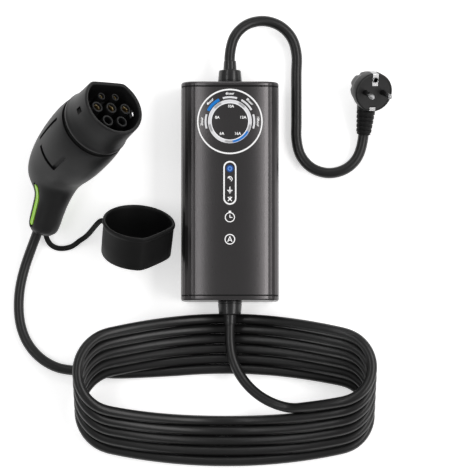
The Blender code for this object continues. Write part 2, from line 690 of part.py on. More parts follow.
def build_plug():
    """The angled mains plug: body, two pins, earth clips and ribbed boot."""
    plug, exit_axis = plug_frame(), boot_frame()
    rim = 1 * MM
    profile = [(0, 0), (PLUG_RADIUS - rim, 0), (PLUG_RADIUS, -rim), (PLUG_RADIUS, -PLUG_RIM),
               ((PLUG_RADIUS + PLUG_BACK_RADIUS) / 2 + rim, -(PLUG_RIM + PLUG_DEPTH) / 2),
               (PLUG_BACK_RADIUS, -PLUG_DEPTH + rim), (PLUG_BACK_RADIUS - 2 * rim, -PLUG_DEPTH),
               (0, -PLUG_DEPTH)]
    body = turned("plug_body", profile, MATERIALS["plastic"], plug)
    hub = rod(BOOT_ROOT_RADIUS + rim, BOOT_DEPTH / 2, HUB_REACH, sides=FINE,
              top_radius=BOOT_ROOT_RADIUS)
    join(body, add("hub", hub, MATERIALS["plastic"], exit_axis))

    for index, side in enumerate((-1, 1), 1):
        matrix = plug @ Matrix.Translation((side * PIN_SPACING / 2, 0, 0))
        tip = PIN_LENGTH
        root = -BOOT_DEPTH / 2
        cut(body, round_cutter(PIN_RADIUS + GAP, root - GAP, CUT, matrix, COARSE))
        profile = [(0, tip), (PIN_RADIUS / 2, tip - 0.3 * MM), (PIN_RADIUS, tip - PIN_RADIUS),
                   (PIN_RADIUS, root), (0, root)]
        turned(f"plug_pin_{index}", profile, MATERIALS["steel"], matrix, COARSE)

    for index, (side, reach) in enumerate(zip((1, -1), EARTH_CLIP_REACH), 1):
        made = []
        for name, grow in (("slot", GAP), (f"plug_earth_clip_{index}", 0)):
            width = EARTH_CLIP_WIDTH + 2 * grow
            inner = PLUG_RADIUS - reach - grow
            wall = PLUG_RADIUS - 2 * EARTH_CLIP_THICKNESS - grow
            out = PLUG_RADIUS - EARTH_CLIP_THICKNESS / 2 + (CUT if grow else 0)
            floor = -EARTH_CLIP_THICKNESS - grow
            top = CUT if grow else 0
            low = -EARTH_CLIP_SIDE - grow
            outline = [(inner, top), (inner, floor), (wall, floor), (wall, low), (out, low),
                       (out, top)]
            solid = outline_solid([outline], width, -width / 2)
            turn = plug @ frame_of(Vector((0, 0, 0)), (0, side, 0), (side, 0, 0))
            made.append(add(name, solid, MATERIALS["steel"], turn))
        slot, clip = made
        cut(body, slot)
        if side > 0:
            matrix = plug @ Matrix.Translation((0, side * (PLUG_RADIUS - reach * 0.52), 0))
            cut(clip, round_cutter(EARTH_SOCKET_RADIUS, -4 * EARTH_CLIP_THICKNESS, CUT, matrix,
                                   COARSE))
            cut(body, round_cutter(EARTH_SOCKET_RADIUS, -BOOT_DEPTH / 2, CUT, matrix, COARSE))

    base = HUB_REACH + GAP
    length = BOOT_LENGTH
    profile = [(0, base + length)]
    for rib in range(BOOT_RIBS):
        share = rib / BOOT_RIBS
        radius = BOOT_MOUTH_RADIUS + (BOOT_ROOT_RADIUS - BOOT_MOUTH_RADIUS) * share
        top = base + length * (1 - 0.8 * share)
        pitch = 0.8 * length / BOOT_RIBS
        profile += [(radius, top), (radius, top - 0.62 * pitch),
                    (radius - BOOT_GROOVE, top - 0.62 * pitch), (radius - BOOT_GROOVE, top - pitch)]
    profile += [(BOOT_ROOT_RADIUS, base + 0.2 * length), (BOOT_ROOT_RADIUS, base), (0, base)]
    turned("plug_boot", profile, MATERIALS["rubber"], exit_axis, 24)


def build_cables():
    """The plain stretches of both cables, up to the pieces that they run into."""
    mouth = CASE_LENGTH / 2 + BUSH_LENGTH + 2 * GAP
    height = CASE_HEIGHT / 2
    boot = boot_frame()
    boot_end = boot @ Vector((0, 0, HUB_REACH + BOOT_LENGTH + 2 * GAP))
    before = boot @ Vector((0, 0, HUB_REACH + BOOT_LENGTH + 8 * MM))
    route = smooth_route([*(Vector(point) * MM for point in MAINS_ROUTE), before])
    route = [Vector((0, mouth, height)), *route, boot_end]
    tube("mains_lead", route, MAINS_CABLE, MATERIALS["cable"])

    handle = handle_frame()
    root = handle @ Vector((CABLE_OFFSET, 0, HANDLE_LENGTH + GAP))
    after = handle @ Vector((CABLE_OFFSET, 0, HANDLE_LENGTH + 7 * MM))
    join_x = COIL_X - COIL_HALF_WIDTH - CAR_CABLE / 2 - GAP
    join_y = COIL_BACK_Y - CAR_CABLE / 2 - 5 * COIL_PITCH
    before = Vector((join_x - 6 * MM, join_y, GUN_TAIL_ROUTE[-1][2] * MM))
    route = smooth_route([after, *(Vector(point) * MM for point in GUN_TAIL_ROUTE), before])
    route = [root, *route, Vector((join_x, join_y, before.z))]
    tube("ev_cable_gun_tail", route, CAR_CABLE, MATERIALS["cable"])

    route = smooth_route([Vector(point) * MM for point in BOX_TAIL_ROUTE])
    route.append(Vector((0, -mouth, height)))
    tube("ev_cable_box_tail", route, CAR_CABLE, MATERIALS["cable"])


def connector_frame():
    return frame_of(ELBOW, BARREL_RIGHT, BARREL_AXIS)


def handle_frame():
    """The handle's own axes at the elbow: +Z along it to its end, +X as the connector's."""
    bend = math.radians(HANDLE_BEND)
    axis = (0, -math.sin(bend), -math.cos(bend))
    return connector_frame() @ frame_of(Vector((0, 0, 0)), (1, 0, 0), axis)


def keyed_ring(radius, flat, z, sides=40):
    """A ring about Z with its top cut level, as the nose's key."""
    turns = [2 * math.pi * i / sides for i in range(sides)]
    return [(radius * math.cos(t), min(radius * math.sin(t), flat), z) for t in turns]


def body_rings():
    """The body's sections, with one more between each two, as rings of points."""
    rows = [Vector(row) for row in BODY_SECTIONS]
    ends = [2 * rows[0] - rows[1], *rows, 2 * rows[-1] - rows[-2]]
    finer = []
    for a, b, c, d in zip(ends, ends[1:], ends[2:], ends[3:]):
        finer += [b, (9 * b + 9 * c - a - d) / 16]
    finer.append(rows[-1])
    rings = []
    for low_y, low_z, high_y, high_z, half_width in finer:
        ring = []
        for i in range(BODY_SIDES):
            turn = 2 * math.pi * i / BODY_SIDES
            share = (1 + math.sin(turn)) / 2
            ring.append((half_width * math.cos(turn) * MM,
                         (low_y + (high_y - low_y) * share) * MM,
                         (low_z + (high_z - low_z) * share) * MM))
        rings.append(ring)
    return rings


def half_width_at(distance):
    """The handle's half width at a distance along it from the elbow."""
    bend = math.radians(HANDLE_BEND)
    rows = [(-(row[0] + row[2]) / 2 * math.sin(bend) - (row[1] + row[3]) / 2 * math.cos(bend),
             row[4]) for row in BODY_SECTIONS]
    for (near, wide), (far, narrow) in zip(rows, rows[1:]):
        if near <= distance / MM <= far:
            return (wide + (narrow - wide) * (distance / MM - near) / (far - near)) * MM
    return rows[-1][1] * MM


def build_connector_body():
    """The moulded body with its shallow side grooves and the recesses for the two strips."""
    frame, handle = connector_frame(), handle_frame()
    body = add("gun_body", loft(body_rings()), MATERIALS["plastic"], frame)
    seat = BARREL_FRONT - SHROUD_SEAT - GAP
    cut(body, round_cutter(SHROUD_RADIUS + GAP, seat, BARREL_FRONT + CUT, frame, 48))

    def side_matrix(side, turn):
        """X outwards from a side of the barrel, turned from the middle of that side."""
        lean = math.radians(turn)
        outward = Vector((side * math.cos(lean), math.sin(lean), 0))
        return frame @ frame_of(Vector((0, -1 * MM, 0)), outward, (0, 0, 1))

    for side in (-1, 1):
        for turn, start, end, floor in ((19, 9, 46, 33.2), (-41, 9, 31, 33.6)):
            size = (8 * MM, GROOVE_WIDTH, (end - start) * MM)
            place = (floor * MM + 4 * MM, 0, (start + end) / 2 * MM)
            cut(body, add("groove", block(size, place), MATERIALS["plastic"],
                          side_matrix(side, turn)))
        outline = sector(36.6 * MM, 8 * MM, 0, 43, 6)
        solid = outline_solid([outline], GROOVE_WIDTH, 9 * MM)
        cut(body, add("groove", solid, MATERIALS["plastic"], side_matrix(side, -19.5)))

    # Each strip follows the handle's side, so both it and its recess are skewed blocks
    near, far = half_width_at(STRIP_START), half_width_at(STRIP_END)
    for name, side in (("left", -1), ("right", 1)):
        for finish, border, floor, face in (("recess", STRIP_BORDER, STRIP_DEPTH + GAP, -CUT),
                                            ("strip", 0, STRIP_DEPTH, STRIP_DEPTH / 2)):
            rings = []
            for distance in (STRIP_START - border, STRIP_END + border):
                share = (distance - STRIP_START) / (STRIP_END - STRIP_START)
                width = near + (far - near) * share
                half = STRIP_WIDTH / 2 + border
                rings.append([(side * (width - depth), across, distance)
                              for depth, across in ((floor, -half), (floor, half),
                                                    (face, half), (face, -half))])
            solid = loft(rings)
            if finish == "recess":
                cut(body, add("recess", solid, MATERIALS["plastic"], handle))
            else:
                add(f"green_strip_{name}", solid, MATERIALS["strip"], handle)


def build_nose():
    """The keyed shroud, the seal behind its collar, and the contacts in their carrier."""
    frame = connector_frame()
    collar = BARREL_FRONT + SEAL_WIDTH + 2 * GAP
    seat = BARREL_FRONT - SHROUD_SEAT
    open_flat = 2 * SHROUD_RADIUS
    steps = [(SHROUD_RADIUS, open_flat, seat), (SHROUD_RADIUS, open_flat, collar),
             (COLLAR_RADIUS, open_flat, collar), (COLLAR_RADIUS, open_flat, collar + 3 * MM),
             (SHROUD_RADIUS + 1.6 * MM, SHROUD_FLAT + 4 * MM, collar + 7 * MM),
             (SHROUD_RADIUS + 0.6 * MM, SHROUD_FLAT + 1 * MM, collar + 14 * MM),
             (SHROUD_RADIUS, SHROUD_FLAT, NOSE_REACH - 1 * MM),
             (SHROUD_RADIUS - 0.8 * MM, SHROUD_FLAT - 0.8 * MM, NOSE_REACH)]
    rings = [keyed_ring(*step) for step in steps]
    shroud = add("front_shroud", loft(rings), MATERIALS["plastic"], frame)
    inner, flat = SHROUD_RADIUS - SHROUD_WALL, SHROUD_FLAT - SHROUD_WALL
    rings = [keyed_ring(inner, flat, z) for z in (seat - CUT, NOSE_REACH + CUT)]
    cut(shroud, add("bore", loft(rings), MATERIALS["plastic"], frame))
    size = (3 * SHROUD_RADIUS, LOCK_HOLE, LOCK_HOLE)
    hole = block(size, (0, 0, NOSE_REACH - LOCK_HOLE_SETBACK))
    cut(shroud, add("hole", hole, MATERIALS["plastic"], frame))

    back = BARREL_FRONT + GAP
    profile = [(SEAL_RADIUS, back + SEAL_WIDTH), (SEAL_RADIUS, back), (SHROUD_RADIUS + GAP, back),
               (SHROUD_RADIUS + GAP, back + SEAL_WIDTH)]
    turned("seal_ring", profile, MATERIALS["rubber"], frame, 48)

    floor = NOSE_REACH - CARRIER_FLOOR
    rings = [keyed_ring(inner - GAP, flat - GAP, z) for z in (floor - CARRIER_PLATE, floor)]
    carrier = add("contact_carrier", loft(rings), MATERIALS["plastic"], frame)
    places = [("contact_power_1", 0, 0, True), ("contact_power_2", -POWER_SPACING, 0, True),
              ("contact_power_3", POWER_SPACING, 0, True),
              (None, -POWER_SPACING / 2, -LOWER_ROW, True),
              (None, POWER_SPACING / 2, -LOWER_ROW, True),
              ("contact_signal_1", -POWER_SPACING * 0.49, SIGNAL_ROW, False),
              ("contact_signal_2", POWER_SPACING * 0.49, SIGNAL_ROW, False)]
    top = NOSE_REACH - SLEEVE_SETBACK
    for name, x, y, power in places:
        matrix = frame @ Matrix.Translation((x, y, 0))
        radius = POWER_SLEEVE if power else SIGNAL_SLEEVE
        sleeve = rod(radius, floor - CARRIER_PLATE / 2, top, sides=COARSE)
        join(carrier, add("sleeve_tube", sleeve, MATERIALS["plastic"], matrix))
    for name, x, y, power in places:
        matrix = frame @ Matrix.Translation((x, y, 0))
        bore = POWER_BORE if power else SIGNAL_BORE
        root = floor - CARRIER_PLATE - CUT if name else floor + CUT
        cut(carrier, round_cutter(bore, root, top + CUT, matrix, COARSE))
        if not name:
            continue
        outer, tip = bore - GAP, top - CONTACT_SETBACK
        tail = floor - CARRIER_PLATE - CONTACT_TAIL
        wall = outer - CONTACT_WALL
        profile = [(outer, tip), (outer, tail), (wall, tail), (wall, tip)]
        turned(name, profile, MATERIALS["brass"], matrix, 16)


def build_cap():
    """The rubber cap, open side up, and the strap that ties it to the connector's tail."""
    frame = frame_of(CAP_CENTRE, CAP_FLAT_SIDE.cross(CAP_AXIS), CAP_AXIS)
    edge = 1.5 * MM
    bead = CAP_HEIGHT - CAP_BEAD_HEIGHT
    steps = [(-edge, 0), (0, edge), (0, bead - CAP_BEAD), (CAP_BEAD, bead), (CAP_BEAD, CAP_HEIGHT)]
    rings = [keyed_ring(CAP_RADIUS + grow, CAP_FLAT + grow, z) for grow, z in steps]
    cap = add("cap", loft(rings), MATERIALS["rubber"], frame)
    inner, flat = CAP_RADIUS - CAP_WALL, CAP_FLAT - CAP_WALL
    rings = [keyed_ring(inner, flat, z) for z in (CAP_WALL, CAP_HEIGHT + CUT)]
    cut(cap, add("hollow", loft(rings), MATERIALS["rubber"], frame))

    handle = handle_frame()
    root = handle @ Vector((STRAP_OFFSET, 0, HANDLE_LENGTH + GAP))
    after = handle @ Vector((STRAP_OFFSET, 0, HANDLE_LENGTH + 5 * MM))
    last = frame.inverted() @ (Vector(STRAP_ROUTE[-1]) * MM)
    outward = Vector((last.x, last.y, 0)).normalized()
    end = frame @ (outward * (CAP_RADIUS + 2 * GAP) + Vector((0, 0, STRAP_RISE)))
    near = frame @ (outward * (CAP_RADIUS + 4 * MM) + Vector((0, 0, STRAP_RISE)))
    route = smooth_route([after, *(Vector(point) * MM for point in STRAP_ROUTE), near], 6 * MM)
    route = [root, *route, end]
    rings = []
    for before, point, ahead in zip([route[0]] + route, route, route[1:] + [route[-1]]):
        heading = (ahead - before).normalized()
        across = heading.cross(Vector((0, 0, 1))).normalized()
        up = across.cross(heading)
        wide, thick = across * STRAP_WIDTH / 2, up * STRAP_THICKNESS / 2
        rings.append([point - wide - thick, point + wide - thick, point + wide + thick,
                      point - wide + thick])
    add("cap_strap", loft(rings), MATERIALS["rubber"])


clear_scene()
PARTS = collection("portable ev charger")
CUTTERS = collection("cutters")
CUTTERS.hide_render = True
MATERIALS = {
    "case": material("anodised_grey", (0.060, 0.056, 0.058), 0.42, 0.6),
    "plastic": material("moulded_black", (0.018, 0.018, 0.019), 0.5),
    "rubber": material("rubber_black", (0.016, 0.016, 0.017), 0.7),
    "trim": material("trim_white", (0.85, 0.85, 0.85), 0.4),
    "light": material("light_guide", (0.72, 0.74, 0.78), 0.3),
    "steel": material("plated_steel", (0.62, 0.62, 0.62), 0.3, 1.0),
    "brass": material("contact_brass", (0.70, 0.50, 0.24), 0.3, 1.0),
    "board": material("board_green", (0.02, 0.16, 0.07), 0.5),
    "relay": material("component_blue", (0.03, 0.08, 0.30), 0.5),
    "terminal": material("terminal_green", (0.04, 0.30, 0.14), 0.5),
    "cable": material("cable_jacket", (0.030, 0.030, 0.031), 0.6),
    "strip": material("lime_strip", (0.42, 0.80, 0.05), 0.35),
}
SLEEVE_END = CASE_LENGTH / 2 - END_CAP_PLATE - 2 * GAP - GASKET_THICKNESS
ALONG_BOX = frame_of(Vector((0, 0, CASE_HEIGHT / 2)), (1, 0, 0), (0, -1, 0))
DIAL = Matrix.Translation((0, DIAL_Y, 0))
STATUS = Matrix.Translation((0, STATUS_Y, 0))

build_sleeve()
build_end("top", 1)
build_end("bottom", -1)
build_dial()
build_status()
build_electronics()
build_coil()
build_plug()
build_connector_body()
build_nose()
build_cap()
build_cables()
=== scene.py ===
"""Portable EV charger, laid out on a pale studio floor and seen from above."""
import math

import bmesh
import bpy
from mathutils import Matrix, Vector


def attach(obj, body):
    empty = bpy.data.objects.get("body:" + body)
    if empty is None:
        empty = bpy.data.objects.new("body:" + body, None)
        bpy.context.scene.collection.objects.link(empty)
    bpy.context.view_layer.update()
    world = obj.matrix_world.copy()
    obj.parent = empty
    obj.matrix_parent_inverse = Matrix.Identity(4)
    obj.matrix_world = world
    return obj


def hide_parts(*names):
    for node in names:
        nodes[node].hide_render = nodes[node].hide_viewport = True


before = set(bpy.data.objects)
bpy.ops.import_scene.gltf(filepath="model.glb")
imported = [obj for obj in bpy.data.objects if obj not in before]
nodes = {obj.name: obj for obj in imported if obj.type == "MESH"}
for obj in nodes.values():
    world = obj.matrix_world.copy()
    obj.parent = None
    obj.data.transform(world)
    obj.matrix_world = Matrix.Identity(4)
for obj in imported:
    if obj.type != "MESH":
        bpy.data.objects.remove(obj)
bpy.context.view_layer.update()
scene = bpy.context.scene

# Studio
# The object lies on a seamless white floor between long soft lights. The camera looks down on it
# through a long lens, as a catalogue photograph does, so that the control box shows no sides.
def fill(made, values):
    """Gives a node's inputs, by name or number, a value or a socket to be linked to."""
    for entry, value in values.items():
        if isinstance(value, bpy.types.NodeSocket):
            made.id_data.links.new(value, made.inputs[entry])
        else:
            made.inputs[entry].default_value = value


def node(tree, kind, values=None, **settings):
    """A new node with its settings and inputs."""
    made = tree.nodes.new(kind)
    for name, setting in settings.items():
        setattr(made, name, setting)
    fill(made, values or {})
    return made


def reckon(tree, operation, first, second=0.0):
    """The result of a Math node."""
    return node(tree, "ShaderNodeMath", {0: first, 1: second}, operation=operation).outputs[0]


def ramp_of(tree, factor, stops):
    """A ramp's colours, from stops of (position, colour or grey) of which two are at 0 and 1."""
    made = node(tree, "ShaderNodeValToRGB", {"Fac": factor})
    elements = made.color_ramp.elements
    for position, tone in stops:
        ends = {0: 0, 1: -1}
        element = elements[ends[position]] if position in ends else elements.new(position)
        element.color = (*(tone if isinstance(tone, tuple) else 3 * (tone,)), 1)
    return made.outputs["Color"]


def material(name):
    """A new material with its node tree and its shader."""
    made = bpy.data.materials.new(name)
    made.use_nodes = True
    return made, made.node_tree, made.node_tree.nodes["Principled BSDF"]


scene.view_settings.view_transform = "Standard"
world = bpy.data.worlds.new("studio")
scene.world = world
world.use_nodes = True
sky = world.node_tree
way = node(sky, "ShaderNodeTexCoord").outputs["Generated"]
sideways = node(sky, "ShaderNodeSeparateXYZ", {0: way}).outputs["X"]
share = node(sky, "ShaderNodeMapRange", {"Value": sideways, "From Min": -1}).outputs["Result"]
greys = ramp_of(sky, share, ((0, 0.42), (0.16, 0.42), (0.22, 0.62), (0.28, 0.50), (0.36, 0.38),
                             (0.64, 0.38), (0.71, 0.50), (0.77, 0.62), (0.84, 0.42), (1, 0.42)))
fill(sky.nodes["Background"], {"Color": greys, "Strength": 0.85})

target = Vector((0.005, -0.042, 0.02))
camera_data = bpy.data.cameras.new("camera")
camera_data.lens = 233
camera_data.sensor_width = 36
camera_data.clip_end = 20
camera = bpy.data.objects.new("camera", camera_data)
scene.collection.objects.link(camera)
elevation, distance = 86, 3.0
lean = math.radians(elevation)
camera.location = target + distance * Vector((0, -math.cos(lean), math.sin(lean)))
camera.rotation_euler = (math.radians(90 - elevation), 0, 0)
scene.camera = camera

for name, place, size, power, tint in (
        ("left", (-1.15, 0.05, 1.95), (2.4, 0.34), 11, (1.0, 1.0, 1.0)),
        ("right", (1.60, -0.05, 1.70), (2.4, 0.80), 29, (1.0, 0.985, 0.98)),
        ("back", (-0.2, 1.75, 1.75), (2.2, 0.4), 8, (1.0, 1.0, 1.0))):
    light = bpy.data.lights.new(name, "AREA")
    light.shape = "RECTANGLE"
    light.size, light.size_y = size
    light.energy = power
    light.color = tint
    lamp = bpy.data.objects.new(name, light)
    lamp.location = place
    lamp.rotation_euler = (Vector((0, 0, 0.02)) - Vector(place)).to_track_quat("-Z", "Y").to_euler()
    scene.collection.objects.link(lamp)

floor_mesh = bpy.data.meshes.new("floor")
floor_reach, floor_level = 6, -0.0008
floor_mesh.from_pydata([(x * floor_reach, y * floor_reach, floor_level)
                        for x, y in ((-1, -1), (1, -1), (1, 1), (-1, 1))], [], [(0, 1, 2, 3)])
floor = bpy.data.objects.new("floor", floor_mesh)
scene.collection.objects.link(floor)
paper, tree, shader = material("paper")
seen = node(tree, "ShaderNodeLightPath").outputs
rays = reckon(tree, "ADD", seen["Is Camera Ray"], seen["Is Glossy Ray"])
rays = reckon(tree, "ADD", rays, seen["Is Transmission Ray"])
fill(shader, {"Base Color": (0.93, 0.93, 0.93, 1), "Roughness": 0.85, "Emission Color": (1, 1, 1, 1),
              "Emission Strength": reckon(tree, "MULTIPLY", rays, 0.5)})
floor_mesh.materials.append(paper)

# Cables
# Two round cables with a smooth matt jacket of extruded rubber. The mains lead arches from the top
# bush to the plug. The car cable lies in five and a half loops, each a little nearer the box than
# the one before, and its last 54 mm run on inside the connector's handle.
AXIS = 0.023
MOUTH = 0.1208
LEAD = 0.0105
CABLE = 0.010


def through(points, finer):
    """Points, or rows of a table, with more between each two on a smooth curve."""
    points = [Vector(point) for point in points]
    ends = [2 * points[0] - points[1], *points, 2 * points[-1] - points[-2]]
    made = []
    for a, b, c, d in zip(ends, ends[1:], ends[2:], ends[3:]):
        for i in range(finer):
            t = i / finer
            made.append(0.5 * (2 * b + (c - a) * t + (2 * a - 5 * b + 4 * c - d) * t * t
                               + (3 * b - a - 3 * c + d) * t ** 3))
    return made + [points[-1]]


def resampled(fine, step):
    """The same route with its points an even step apart."""
    length = sum((q - p).length for p, q in zip(fine, fine[1:]))
    count = max(2, round(length / step))
    route, walked = [fine[0]], 0.0
    for p, q in zip(fine, fine[1:]):
        stretch = (q - p).length
        while stretch > 0 and walked + stretch >= length / count * len(route) and len(route) < count:
            route.append(p.lerp(q, (length / count * len(route) - walked) / stretch))
        walked += stretch
    route.append(fine[-1])
    return route


def coil_route():
    """The coil's centreline, by the angle of its outward normal, clockwise from above."""
    half_length, half_width, end_radius, pitch = 0.143, 0.048, 0.0365, 0.00995
    side_radius = (half_length ** 2 + half_width ** 2 - 2 * half_length * end_radius) / (
        2 * (half_width - end_radius))
    quarter = math.degrees(math.asin((half_length - end_radius) / (side_radius - end_radius)))
    points, angle = [], 95.0
    while (90 - angle) / 360 < 5.4925:
        turns = (90 - angle) / 360
        turn = math.radians(angle)
        if abs((angle % 180) - 90) > quarter:
            radius, x, y = end_radius, math.copysign(half_length - end_radius, math.cos(turn)), 0
        else:
            radius, x, y = side_radius, 0, math.copysign(side_radius - half_width, -math.sin(turn))
        x += radius * math.cos(turn)
        y += radius * math.sin(turn)
        # The strands lie side by side in the middle of each side, and on each other at the ends.
        share = min(1, abs(x) / half_length)
        rise = 0.0108 * share * share * (3 - 2 * share) * max(0.0, turns - 0.25 * math.cos(turn))
        points.append(Vector((x - 0.005, y - 0.1718 - (5 - turns) * pitch - 0.07 * rise,
                              CABLE / 2 + 0.0002 + rise)))
        angle -= math.degrees(0.003 / radius)
    return points


def cable_curve(name, dense, knots, diameter):
    """A smooth curve through knots picked along a dense route, with its handles on the route."""
    curve = bpy.data.curves.new(name, "CURVE")
    curve.dimensions = "3D"
    curve.bevel_depth = diameter / 2
    curve.bevel_resolution = 6
    curve.resolution_u = 10
    curve.use_fill_caps = True
    spline = curve.splines.new("BEZIER")
    spline.bezier_points.add(len(knots) - 1)
    for order, (point, index) in enumerate(zip(spline.bezier_points, knots)):
        ahead, behind = min(index + 1, len(dense) - 1), max(index - 1, 0)
        tangent = (dense[ahead] - dense[behind]).normalized()
        before = knots[max(order - 1, 0)]
        after = knots[min(order + 1, len(knots) - 1)]
        point.handle_left_type = point.handle_right_type = "FREE"
        point.co = dense[index]
        point.handle_left = dense[index] - tangent * run_length(dense, before, index) / 3
        point.handle_right = dense[index] + tangent * run_length(dense, index, after) / 3
    piece = bpy.data.objects.new(name, curve)
    scene.collection.objects.link(piece)
    return piece


def run_length(dense, start, end):
    """The length of a route between two of its points."""
    return sum((dense[i + 1] - dense[i]).length for i in range(start, end))


def knots_along(dense, spacing):
    """Indices at an even spacing."""
    picked, walked = [0], 0.0
    for i in range(1, len(dense)):
        walked += (dense[i] - dense[i - 1]).length
        if walked >= spacing:
            picked.append(i)
            walked = 0.0
    if picked[-1] != len(dense) - 1:
        picked[-1] = len(dense) - 1
    return picked


def placed(origin, x_axis, z_axis):
    """A placing matrix with its Z on z_axis and its X as near x_axis as that allows."""
    z = Vector(z_axis).normalized()
    x = (Vector(x_axis) - Vector(x_axis).dot(z) * z).normalized()
    return Matrix.Translation(origin) @ Matrix((x, z.cross(x), z)).transposed().to_4x4()


gun = placed((-0.161, 0.036, 0.0468), (0.812, 0, -0.584), (0.53, 0.42, 0.737))
bend = math.radians(35)
grip = gun @ placed((0, 0, 0), (1, 0, 0), (0, -math.sin(bend), -math.cos(bend)))
plug = placed((0.142, 0.097, 0.0385), (0.90, 0.05, -0.36), (0.36, -0.36, 0.86))
boot = plug @ placed((0, 0, -0.015), (1, 0, 0), (0, -1, 0))

mains_route = [
    (0, MOUTH, AXIS), (0, 0.137, AXIS), (0.0045, 0.1545, 0.0219), (0.0162, 0.1667, 0.0197),
    (0.033, 0.171, 0.0167), (0.0495, 0.1666, 0.0134), (0.0616, 0.1545, 0.0102),
    (0.0662, 0.138, 0.0075), (0.066, 0.121, 0.0058), (0.066, 0.104, 0.0054),
    (0.066, 0.087, 0.0054), (0.066, 0.070, 0.0054), (0.066, 0.0543, 0.0054),
    (0.0703, 0.0379, 0.0054), (0.0817, 0.0255, 0.0054), (0.0986, 0.0206, 0.0054),
    (0.1153, 0.0251, 0.0054), (0.1264, 0.0363, 0.0057), boot @ Vector((0, 0, 0.0545))]
dense = resampled(through(mains_route, 24), 0.002) + [boot @ Vector((0, 0, 0.0465))]
mains = cable_curve("mains_cable", dense, knots_along(dense, 0.0135), LEAD)

box_tail = [(0.0607, -0.2124, 0.0290), (0.0469, -0.2093, 0.0246), (0.0339, -0.2034, 0.0226),
            (0.0225, -0.1950, 0.0219), (0.0130, -0.1845, 0.0218), (0.0059, -0.1722, 0.0220),
            (0.0015, -0.1587, 0.0224), (0, -0.1443, 0.0228), (0, -0.133, 0.023),
            (0, -MOUTH, AXIS)]
gun_tail = [*(grip @ Vector((-0.005, 0, 0.037 + 0.009 * i)) for i in range(7)),
            (-0.197, -0.056, 0.0088), (-0.203, -0.073, 0.006), (-0.2075, -0.092, 0.0054),
            (-0.209, -0.111, 0.0053), (-0.207, -0.130, 0.0053), (-0.200, -0.148, 0.0053),
            (-0.187, -0.163, 0.0053), (-0.170, -0.1723, 0.0053), (-0.1533, -0.175, 0.0053),
            (-0.128, -0.1775, 0.0053), (-0.105, -0.1783, 0.0053)]
coil = coil_route()
coil = coil[:max(i for i, point in enumerate(coil) if point.x > 0.075) + 1]
before = resampled(through([*gun_tail, coil[0], coil[9]], 24), 0.001)
joint = min(range(len(before)), key=lambda i: (before[i] - coil[0]).length)
after = resampled(through([coil[-14], coil[-7], coil[-1], *box_tail], 24), 0.001)
start = min(range(len(after)), key=lambda i: (after[i] - coil[-1]).length)
dense = resampled((before[:joint] + coil + after[start + 1:])[::-1], 0.002)
cable = cable_curve("car_cable", dense, knots_along(dense, 0.018), CABLE)

# The jacket's grain, like that of the other moulded and drawn surfaces, comes from one group: small
# relief as a normal, and two masks, a fine one and a broad one.
def group(name, inputs, outputs):
    """An empty shader group, the sockets that it is given, and its output node."""
    made = bpy.data.node_groups.new(name, "ShaderNodeTree")
    for in_out, rows in (("INPUT", inputs), ("OUTPUT", outputs)):
        for label, value in rows.items():
            kind = "NodeSocketFloat" if isinstance(value, float) else "NodeSocketVector"
            made.interface.new_socket(label, in_out=in_out, socket_type=kind).default_value = value
    return made, node(made, "NodeGroupInput").outputs, node(made, "NodeGroupOutput")


grain, given, result = group(
    "grain", {"Scale": 2500.0, "Strength": 0.1, "Depth": 0.00003, "Broad": 60.0, "Stretch": (1, 1, 1)},
    {"Normal": (0, 0, 0), "Fine": 0.0, "Broad": 0.0})
at = node(grain, "ShaderNodeTexCoord").outputs["Object"]
drawn = node(grain, "ShaderNodeVectorMath", {0: at, 1: given["Stretch"]}, operation="MULTIPLY")
fine = node(grain, "ShaderNodeTexNoise", {"Vector": drawn.outputs[0], "Scale": given["Scale"],
                                          "Detail": 3}).outputs["Fac"]
broad = node(grain, "ShaderNodeTexNoise", {"Vector": at, "Scale": given["Broad"], "Detail": 4})
bump = node(grain, "ShaderNodeBump", {"Height": fine, "Strength": given["Strength"],
                                      "Distance": given["Depth"]})
fill(result, {"Normal": bump.outputs["Normal"], "Fine": fine, "Broad": broad.outputs["Fac"]})

# Sharp edges of dark plastic are painted a little lighter than its faces: a painted highlight where
# they catch the light.
edge_highlight_group, given, result = group("painted_edge_highlights", {"Amount": 1.0}, {"Mask": 0.0})
sharp = node(edge_highlight_group, "ShaderNodeNewGeometry").outputs["Pointiness"]
highlit = node(edge_highlight_group, "ShaderNodeMapRange", {"Value": sharp, "From Min": 0.57, "From Max": 0.70})
fill(result, {"Mask": reckon(edge_highlight_group, "MULTIPLY", highlit.outputs["Result"], given["Amount"])})


def blend(tree, factor, first, second):
    """A colour between two, by a factor."""
    return node(tree, "ShaderNodeMix", {"Factor": factor, "A": first, "B": second},
                data_type="RGBA").outputs["Result"]


def surface(name, dark, light, rough, metallic=0.0, scale=2500.0, strength=0.15, depth=0.00003,
            stretch=(1, 1, 1), edges=0.0, broad=60.0, coat=0.0, specular=0.36, glow=((1, 1, 1), 0)):
    """A material whose colour and roughness drift between two values with the grain's masks."""
    made, tree, shader = material(name)
    texture = node(tree, "ShaderNodeGroup", {
        "Scale": scale, "Strength": strength, "Depth": depth, "Broad": broad, "Stretch": stretch},
        node_tree=grain).outputs
    colour = blend(tree, texture["Broad"], (*dark, 1), (*light, 1))
    # The edge mask lifts the colour towards a lighter tone, a painted highlight on sharp edges.
    if edges:
        highlit = node(tree, "ShaderNodeGroup", {"Amount": edges}, node_tree=edge_highlight_group).outputs["Mask"]
        colour = blend(tree, highlit, colour, (*(min(1, 1.8 * c + 0.008) for c in light), 1))
    matt = node(tree, "ShaderNodeMapRange", {"Value": texture["Fine"], "To Min": rough[0],
                                             "To Max": rough[1]})
    fill(shader, {"Base Color": colour, "Roughness": matt.outputs["Result"], "Metallic": metallic,
                  "Normal": texture["Normal"], "Specular IOR Level": specular, "Coat Weight": coat,
                  "Emission Color": (*glow[0], 1), "Emission Strength": glow[1]})
    return made


